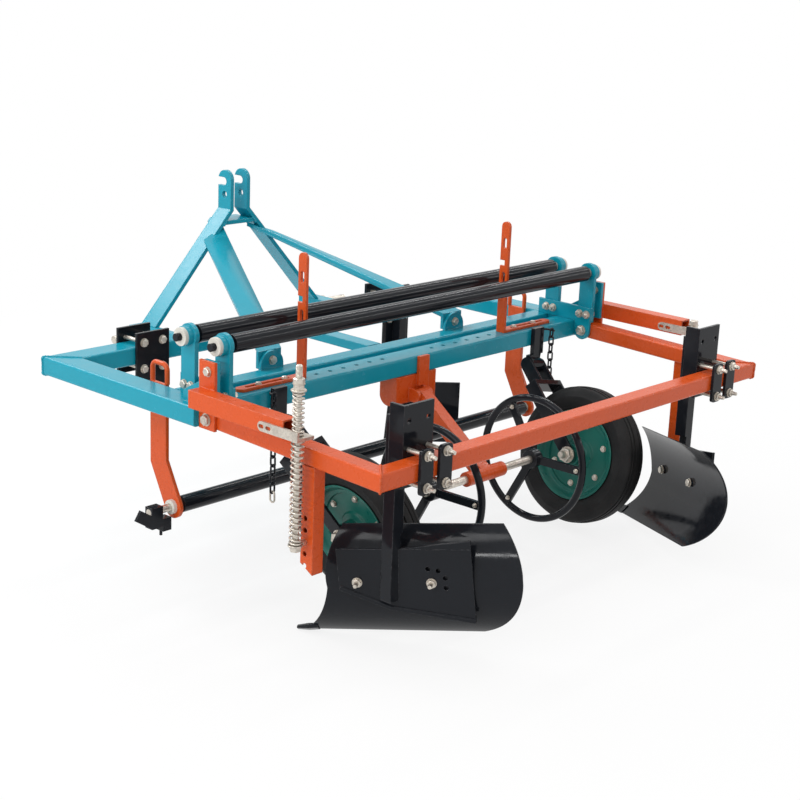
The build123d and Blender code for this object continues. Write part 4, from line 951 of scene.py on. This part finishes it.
class FILMLAYER_OT_bolts(bpy.types.Operator):
    """Put chamfered bolts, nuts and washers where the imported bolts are"""

    bl_idname = "film_layer.bolts"
    bl_label = "Bolts"

    def execute(self, context):
        rearward = (0, -1, 0)
        for node, body, shank, nut_side, thread_end in (
            ("frame_bolts", "frame", 0.006, None, 0.30),
            ("pivot_bolts", "frame", 0.0085, None, 0.30),
            ("board_studs", "rear_frame", 0.006, rearward, 0.75),
        ):
            spots = bolt_spots(node, nut_side)
            seat_bolts(node + "_detail", spots, shank, body, [node], {"Thread End": thread_end})
        seat_bolts("film_foot_bolts", self.foot_spots(), 0.004, "frame")
        return {"FINISHED"}

    def foot_spots(self):
        """Two bolt heads in the slot of each film arm's foot, measured from the foot's outer end."""
        insets = (0.072, 0.162)
        spots = []
        for side in SIDES:
            points = np.array([vert.co[:] for vert in NODES[side + "_film_arm"].data.vertices])
            seat = np.unique(np.round(points[:, 2], 5))[1]
            middle = (points[:, 1].min() + points[:, 1].max()) / 2
            outer = points[np.argmax(np.abs(points[:, 0])), 0]
            for inset in insets:
                x = outer - math.copysign(inset, outer)
                spots.append(((x, middle, seat), None, (0, 0, -1), sizes().foot_bolt))
        return spots


class FILMLAYER_OT_wheels(bpy.types.Operator):
    """Turn the press wheels' ribbed tyres and pressed rims, with their bolts and axle nuts"""

    bl_idname = "film_layer.wheels"
    bl_label = "Press wheels"

    def execute(self, context):
        size = sizes()
        for side in SIDES:
            joint = JOINTS[side + "_wheel_spin"]
            place = facing(joint["pos_m"], joint["axis"])
            bore, _, hub_end = turned_reach(side + "_rim", place)
            _, crown, flank = turned_reach(side + "_tyre", place)
            tyre = self.tyre(size.rim_lip, crown, flank, size.tread_depth)
            rim = self.rim(bore, size.rim_lip, size.rim_disc, hub_end)
            for node, ending, slot, section, steps, sharp in (
                (side + "_tyre", "_rubber", "tyre", tyre, 120, 40),
                (side + "_rim", "_pressing", "green", rim, 96, 32),
            ):
                shape = bmesh.new()
                turn_outline(shape, section, place, steps)
                seat_shape(node + ending, shape, side + "_wheel", slot, [node], sharp)
            along = place.to_3x3() @ Vector((0, 0, 1))
            self.rim_bolts(side, place, along)
            self.axle_nuts(side, place, along)
        return {"FINISHED"}

    def tyre(self, lip, crown, flank, deep):
        """Section of a tyre: bead, rim guard, bulged flank with a moulded line, and a ribbed tread."""
        wall, bead = (lip + crown) / 2, flank - 0.0144
        half = offsets(lip, bead, [(-7.7, 0), (0.3, 0.2), (2.5, 2.8), (6, 5.6), (8, 5.8), (9.5, 7.6)])
        half += offsets(lip, flank, [(20, -3.4)])
        half += offsets(wall, flank, [(-10, -0.8), (0, 0), (1.5, 1), (4.5, 1), (6, 0)])
        half += offsets(crown, flank, [(-26, -1.2), (-17, -3.8), (-10, -8), (-6, -12), (-4.4, -16.4)])
        for rib, groove, drop in ((0.58, 0.50, 0.003), (0.29, 0.20, 0.001)):
            half += [
                (crown - drop - 0.001, flank * rib),
                (crown - drop - deep, flank * rib - 0.001),
                (crown - drop - deep, flank * groove + 0.001),
                (crown - drop / 2, flank * groove),
            ]
        half.append((crown, flank * 0.06))
        return both_faces(half)

    def rim(self, bore, lip, disc, hub_end):
        """Section of a rim: rolled lips, sloping well, stepped disc and hub tube."""
        edge, hub = 0.037, 0.030
        half = offsets(lip, edge, [(0, -2), (-0.4, -0.6), (-2, 0), (-4.4, -0.4), (-8, -3), (-13, -12)])
        half += offsets(lip, disc, [(-19, 10), (-21.5, 8.6), (-27, 8), (-29.5, 6.8), (-32, 1), (-34, 0)])
        half += offsets(hub, disc, [(22, 0), (19, 1), (15, 6), (12, 7), (3, 7.4), (0, 9)])
        half += offsets(hub, hub_end, [(0, -2.5), (-1.5, -0.8), (-5.5, -0.4), (-6.5, -3)])
        half += offsets(bore, hub_end, [(6, -3), (5, -1), (1.5, -1), (0.1, -2.5)])
        well = offsets(lip, edge, [(-0.4, -2.6), (-7.9, -6.6), (-8.1, -13), (-16.2, -20)])
        return both_faces(half) + [(r, -z) for r, z in well] + well[::-1]

    def rim_bolts(self, side, place, along):
        """Bolts through the flat of the rim's disc."""
        size, spots, inset, start = sizes(), [], 0.044, 0.4
        ring = size.rim_lip - inset
        for i in range(size.rim_bolts):
            angle = 2 * math.pi * (i + start) / size.rim_bolts
            x, y = ring * math.cos(angle), ring * math.sin(angle)
            seats = (place @ Vector((x, y, z)) for z in (size.rim_disc, -size.rim_disc))
            spots.append((*seats, -along, size.rim_bolt))
        seat_bolts(side + "_rim_bolts", spots, size.rim_bolt * SHANK_SHARE, side + "_wheel")

    def axle_nuts(self, side, place, along):
        """A head on the outer end of the fork's axle and a nut on its inner end."""
        overhang, shank = 0.012, 0.010
        end = turned_reach(side + "_wheel_fork", place)[2] - overhang
        inward = -1 if along.x * place.translation.x > 0 else 1
        seats = (place @ Vector((0, 0, sense * inward * end)) for sense in (-1, 1))
        spots = [(*seats, along * inward, sizes().axle_nut)]
        looks = {"Head Height": 0.40, "Thread End": 0.45}
        seat_bolts(side + "_axle_nuts", spots, shank, side + "_fork", (), looks)


class FILMLAYER_OT_ring_wheels(bpy.types.Operator):
    """Make the ring wheels: round hoop, flat spokes, turned hub and clamp bolts"""

    bl_idname = "film_layer.ring_wheels"
    bl_label = "Ring wheels"

    def execute(self, context):
        size = sizes()
        bar, sides, spoke_angles = size.hoop_bar / 2, 16, (-61, 59, 179)
        flat, wide, root, inset = 0.005, 0.011, 0.020, 0.018
        spoke = ((-flat, -wide), (flat, -wide), (flat, wide), (-flat, wide))
        hub = both_faces([(0.0111, 0.015), (0.024, 0.015), (0.026, 0.013)])
        for side in SIDES:
            node, body = side + "_ring_wheel", side + "_ring"
            low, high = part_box(node)
            pivot = JOINTS[side + "_ring_spin"]["pos_m"]
            middle = Vector(((low.x + high.x) / 2, pivot[1], pivot[2]))
            place = facing(middle, (1, 0, 0), (0, 1, 0))
            ring = (high.y - low.y) / 2 - bar
            angles = [2 * math.pi * i / sides for i in range(sides)]
            hoop = [(ring + bar * math.cos(angle), bar * math.sin(angle)) for angle in angles]
            shape = bmesh.new()
            turn_outline(shape, hoop, place, 96)
            turn_outline(shape, hub, place, 48)
            spots = []
            for angle in spoke_angles:
                turn = Matrix.Translation(middle) @ Matrix.Rotation(math.radians(angle), 4, "X")
                loft(shape, [[turn @ Vector((x, y, z)) for x, z in spoke] for y in (root, ring)])
                seats = (turn @ Vector((x, ring - inset, 0)) for x in (flat, -flat))
                spots.append((*seats, (-1, 0, 0), size.spoke_bolt))
            seat_shape(node + "_hoop", shape, body, "black", [node])
            seat_bolts(node + "_bolts", spots, size.spoke_bolt * SHANK_SHARE, body)
        return {"FINISHED"}


class FILMLAYER_OT_mast_braces(bpy.types.Operator):
    """Twist the mast braces' flat bars from their feet up and mitre their heads to the legs"""

    bl_idname = "film_layer.mast_braces"
    bl_label = "Mast braces"

    def execute(self, context):
        size, steps = sizes(), 28
        end_zone, head_zone = 0.02, 0.03
        for side, sense in zip(SIDES, (1, -1)):
            node = side + "_mast_brace"
            shape = welded(node)
            low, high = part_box(node)
            head = self.middle(shape, high.y - end_zone, math.inf)
            along = self.middle(shape, -math.inf, low.y + end_zone) - head
            reach = along.length
            along.normalize()
            for vert in shape.verts:
                if (vert.co - head).dot(along) < head_zone:
                    inward = min(max(sense * (vert.co.x - head.x) / size.brace_width, -0.5), 0.5)
                    vert.co -= along * size.brace_mitre * (0.5 + inward)
            for step in range(1, steps):
                bmesh.ops.bisect_plane(
                    shape,
                    geom=[*shape.verts, *shape.edges, *shape.faces],
                    dist=SAME,
                    plane_co=head + along * reach * step / steps,
                    plane_no=along,
                )
            for vert in shape.verts:
                share = min(max((vert.co - head).dot(along) / reach, 0.0), 1.0)
                turn = Matrix.Rotation(sense * size.brace_twist * (1 - share), 3, along)
                vert.co = head + turn @ (vert.co - head)
            bmesh.ops.triangulate(shape, faces=shape.faces)
            seat_shape(node + "_bar", shape, "frame", "blue", [node], 30)
        return {"FINISHED"}

    def middle(self, shape, low, high):
        """Middle of the box round the points that lie between two levels along the machine."""
        spots = [vert.co for vert in shape.verts if low <= vert.co.y <= high]
        return Vector([(min(s[i] for s in spots) + max(s[i] for s in spots)) / 2 for i in range(3)])


class FILMLAYER_OT_boards(bpy.types.Operator):
    """Raise and fold the wing plates' edges and put a nose on each soil board"""

    bl_idname = "film_layer.boards"
    bl_label = "Soil boards"

    def execute(self, context):
        for side in SIDES:
            corners, place = self.wing(side + "_board_post")
            edges, nose = self.edges(corners, place), self.nose(side + "_board", place)
            seat_shape(side + "_wing_edges", edges, "rear_frame", "black", (), 20)
            seat_shape(side + "_board_nose", nose, "rear_frame", "black", (), 20)
        return {"FINISHED"}

    def wing(self, node):
        """Corners of a wing plate's outer face, and its place: x rearwards, y up and z outwards.

        The corners are front low, elbow and rear low, in the place's own directions. The place's
        origin is the rear top corner.
        """
        rearward, skew, alike, flush, steep, tall = -0.3, 0.95, 0.9999, 2e-4, 0.9, 0.09
        shape = welded(node)
        slanting = [face for face in shape.faces if face.normal.y < rearward]
        slanting = [face for face in slanting if max(map(abs, face.normal)) < skew]
        normal = max(slanting, key=lambda face: face.calc_area()).normal.copy()
        flat = {face for face in slanting if face.normal.dot(normal) > alike}
        level = max(vert.co.dot(normal) for face in flat for vert in face.verts)
        flat = {face for face in flat if abs(face.verts[0].co.dot(normal) - level) < flush}
        rims = [e for face in flat for e in face.edges if len(flat.intersection(e.link_faces)) == 1]
        upright = []
        for edge in rims:
            low, high = sorted((vert.co.copy() for vert in edge.verts), key=lambda spot: spot.z)
            if high.z - low.z > steep * edge.calc_length() > tall:
                upright.append((low, high))
        low, high = min(upright, key=lambda ends: ends[0].y + ends[1].y)
        up = (high - low).normalized()
        along = up.cross(normal)
        if along.y > 0:
            along = -along
        place = Matrix((along, up, normal)).transposed().to_4x4()
        place.translation = high
        spots = [place.inverted() @ vert.co for face in flat for vert in face.verts]
        shape.free()
        front = min(spot.x for spot in spots)
        front_low = min((spot for spot in spots if spot.x < front + LEVEL), key=lambda spot: spot.y)
        rear_low = place.inverted() @ low
        fall = (rear_low.y - front_low.y) / (rear_low.x - front_low.x)
        elbow = min(spots, key=lambda spot: spot.y - fall * spot.x)
        return (front_low, elbow, rear_low), place

    def edges(self, corners, place):
        """A wedge that lifts the top edge to the rear, and a fold along the lower edge."""
        width, rise = sizes().wing_fold, sizes().wing_rise
        thick, sunk, proud, setback = 0.008, -0.002, 0.004, 0.024
        start = corners[1].x + setback
        shape = bmesh.new()
        wedge = ((start, 0), (0, 0), (0, rise))
        loft(shape, [[place @ Vector((x, y, z)) for x, y in wedge] for z in (-thick, 0)])
        section = ((0, sunk), (0, proud), (width * 0.7, proud), (width, 0.001), (width, sunk))
        flat = [Vector((spot.x, spot.y)) for spot in corners]
        inward = [Vector((a.y - b.y, b.x - a.x)).normalized() for a, b in zip(flat, flat[1:])]
        mitres = [inward[0], (inward[0] + inward[1]) / (1 + inward[0].dot(inward[1])), inward[1]]
        fold = [
            [place @ Vector((*(spot + mitre * step), out)) for step, out in section]
            for spot, mitre in zip(flat, mitres)
        ]
        loft(shape, fold)
        return shape

    def nose(self, node, place):
        """A forged nose over the tip of a soil board."""
        reach, sunk, under = sizes().board_nose, 0.003, -0.001
        spots = [place.inverted() @ vert.co for vert in NODES[node].data.vertices]
        tip = min(spot.x for spot in spots)
        ends = [spot for spot in spots if spot.x < tip + LEVEL]
        low, base = min(spot.y for spot in ends), min(spot.z for spot in ends) - sunk
        sections = []
        for x, rise, thick, lean in (
            (tip - 0.004, 0.010, 0.010, 0.008),
            (tip + reach * 0.5, 0.019, 0.014, 0.016),
            (tip + reach, 0.022, 0.010, 0.020),
        ):
            crest = base + lean
            outline = [(under, base), (under, base + thick), (rise * 0.6, crest + thick)]
            outline += [(rise, crest + thick * 0.7), (rise, crest)]
            sections.append([place @ Vector((x, low + y, z)) for y, z in outline])
        shape = bmesh.new()
        loft(shape, sections)
        return shape


class FILMLAYER_OT_welds(bpy.types.Operator):
    """Lay weld beads where the tubes and plates of the two frames meet"""

    bl_idname = "film_layer.welds"
    bl_label = "Welds"

    def execute(self, context):
        looks = {"Width": sizes().weld_width, "Pitch": sizes().weld_pitch}
        main_frame = [
            ("left_side_beam", "front_beam"), ("right_side_beam", "front_beam"),
            ("cross_beam", "left_side_beam"), ("cross_beam", "right_side_beam"),
            ("centre_beam", "front_beam"), ("centre_beam", "cross_beam"),
            ("left_mast_leg", "front_beam"), ("right_mast_leg", "front_beam"),
            ("mast_tie", "left_mast_leg"), ("mast_tie", "right_mast_leg"),
            ("left_mast_brace", "left_mast_leg"), ("right_mast_brace", "right_mast_leg"),
            ("hitch_stubs", "front_beam"), ("cross_rail", "cross_beam"),
        ]
        rear_frame = [("left_rear_arm", "rear_beam"), ("right_rear_arm", "rear_beam")]
        for name, body, slot, joins in (
            ("frame_welds", "frame", "blue", main_frame),
            ("bracket_welds", "frame", "orange", [("centre_bracket", "cross_beam")]),
            ("rear_frame_welds", "rear_frame", "orange", rear_frame),
        ):
            points = [spot[:] for node, base in joins for pair in seams(node, base) for spot in pair]
            if not points:
                raise RuntimeError("no seam was found for " + name)
            seed = seed_mesh(name, points, [(i, i + 1) for i in range(0, len(points), 2)])
            mesh = grown(name, weld_tree(), seed, {**looks, "Finish": finish(slot)})
            seat_piece(name, mesh, body, slot, (), 80)
        return {"FINISHED"}


# Name, place, aim, width and height, and power in watts; without an aim it is the object's middle
LAMPS = (
    ("Low window", (-4.2, -1.2, 1.2), None, (3.4, 0.22), 46),
    ("High window", (-3.9, -0.5, 3.3), None, (3.4, 1.0), 50),
    ("Front overhead", (-1.4, 2.8, 3.5), None, (2.6, 2.0), 135),
    ("Front strip", (3.0, 0.9, 3.6), (3.0, 0.9, 0.0), (5.0, 0.22), 62),
    ("Rear strip", (3.0, -1.7, 3.6), (3.0, -1.7, 0.0), (5.0, 0.16), 40),
    ("Low strip", (3.6, -3.9, 1.6), None, (2.4, 0.14), 15),
)


class FILMLAYER_OT_stage(bpy.types.Operator):
    """Set the pale floor, the soft lights and the camera"""

    bl_idname = "film_layer.stage"
    bl_label = "Stage"

    def execute(self, context):
        scene = context.scene
        low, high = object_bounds()
        reach = 60.0
        corners = ((-reach, -reach), (reach, -reach), (reach, reach), (-reach, reach))
        ground = bpy.data.meshes.new("Floor")
        ground.from_pydata([(x, y, low.z) for x, y in corners], [], [(0, 1, 2, 3)])
        ground.materials.append(self.floor_finish(colours().floor))
        floor = bpy.data.objects.new("Floor", ground)
        scene.collection.objects.link(floor)
        floor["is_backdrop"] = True
        self.surround(scene)
        for name, place, aim, size, power in LAMPS:
            self.lamp(name, Vector(place), Vector(aim or (low + high) / 2), size, power)
        self.camera(scene)
        scene.view_settings.view_transform = "Standard"
        return {"FINISHED"}

    def floor_finish(self, tone):
        """A pale floor, near white to the camera and in reflections, that keeps a soft shadow."""
        inner, outer, least = 0.9, 2.4, 0.78
        made = bpy.data.materials.new("Pale floor")
        made.use_nodes = True
        tree = made.node_tree
        tree.nodes.remove(tree.nodes["Principled BSDF"])
        place = put(tree, "ShaderNodeTexCoord", "Object")
        tint = shaded(tree, rgba(tone), spread(tree, noise(tree, place, 3.0, 4.0), 0.3, 0.7, 0.985, 1.0))
        matt = put(tree, "ShaderNodeBsdfDiffuse", 0, {"Color": tint})
        glow = put(tree, "ShaderNodeEmission", 0, {"Color": (1, 1, 1, 1), "Strength": 1.0})
        far = put(tree, "ShaderNodeVectorMath", "Value", {0: place}, operation="LENGTH")
        share = maths(tree, "MULTIPLY", seen_rays(tree), spread(tree, far, inner, outer, least, 1.0))
        mixed = put(tree, "ShaderNodeMixShader", 0, {0: share, 1: matt, 2: glow})
        fill(tree, tree.nodes["Material Output"], {"Surface": mixed})
        return made

    def surround(self, scene):
        """An even white surround: plain light on the object, white to the camera and in reflections."""
        plain, white = 0.58, 1.0
        scene.world = bpy.data.worlds.new("Studio")
        scene.world.use_nodes = True
        tree = scene.world.node_tree
        strength = spread(tree, seen_rays(tree), 0.0, 1.0, plain, white)
        fill(tree, tree.nodes["Background"], {"Strength": strength, "Color": (1, 1, 1, 1)})

    def lamp(self, name, place, aim, size, power):
        """A soft box with its face towards the aim."""
        data = bpy.data.lights.new(name, "AREA")
        data.shape = "RECTANGLE"
        data.size, data.size_y = size
        data.energy = power
        lamp = bpy.data.objects.new(name, data)
        lamp.location = place
        lamp.rotation_euler = (aim - place).to_track_quat("-Z", "Y").to_euler()
        bpy.context.scene.collection.objects.link(lamp)

    def camera(self, scene):
        """The camera at the photographed angle, from behind on the left."""
        turn, tilt, roll = math.radians(-47.53), math.radians(15.94), math.radians(2.35)
        stand, lens, sight = Vector((-3.2073, -3.6277, 1.1341)), 72.8, 200
        place = Matrix.Rotation(turn, 4, "Z") @ Matrix.Rotation(math.pi / 2 - tilt, 4, "X")
        place = place @ Matrix.Rotation(roll, 4, "Z")
        place.translation = stand
        data = bpy.data.cameras.new("View")
        data.lens, data.clip_end = lens, sight
        view = bpy.data.objects.new("View", data)
        view.matrix_world = place
        scene.collection.objects.link(view)
        scene.camera = view


class FILMLAYER_PT_panel(bpy.types.Panel):
    """Sidebar panel that lists the settings and the steps"""

    bl_idname = "FILMLAYER_PT_panel"
    bl_label = "Film layer"
    bl_space_type = "VIEW_3D"
    bl_region_type = "UI"
    bl_category = "Film layer"

    def draw(self, context):
        layout = self.layout
        for group in (context.scene.film_layer_colours, context.scene.film_layer_sizes):
            box = layout.box()
            for key in group.__annotations__:
                box.prop(group, key, text=key.replace("_", " ").capitalize())
        for step in STEPS:
            layout.operator(step.bl_idname)


STEPS = (
    FILMLAYER_OT_finishes,
    FILMLAYER_OT_springs,
    FILMLAYER_OT_spring_rods,
    FILMLAYER_OT_chains,
    FILMLAYER_OT_bolts,
    FILMLAYER_OT_wheels,
    FILMLAYER_OT_ring_wheels,
    FILMLAYER_OT_mast_braces,
    FILMLAYER_OT_boards,
    FILMLAYER_OT_welds,
    FILMLAYER_OT_stage,
)
CLASSES = (FilmLayerColours, FilmLayerSizes, *STEPS, FILMLAYER_PT_panel)


def register():
    for made in CLASSES:
        bpy.utils.register_class(made)
    bpy.types.Scene.film_layer_colours = PointerProperty(type=FilmLayerColours)
    bpy.types.Scene.film_layer_sizes = PointerProperty(type=FilmLayerSizes)


def unregister():
    del bpy.types.Scene.film_layer_sizes
    del bpy.types.Scene.film_layer_colours
    for made in reversed(CLASSES):
        bpy.utils.unregister_class(made)


def main():
    register()
    bpy.ops.film_layer.finishes()
    bpy.ops.film_layer.springs()
    bpy.ops.film_layer.spring_rods()
    bpy.ops.film_layer.chains()
    bpy.ops.film_layer.bolts()
    bpy.ops.film_layer.wheels()
    bpy.ops.film_layer.ring_wheels()
    bpy.ops.film_layer.mast_braces()
    bpy.ops.film_layer.boards()
    bpy.ops.film_layer.welds()
    bpy.ops.film_layer.stage()


if __name__ == "__main__":
    main()
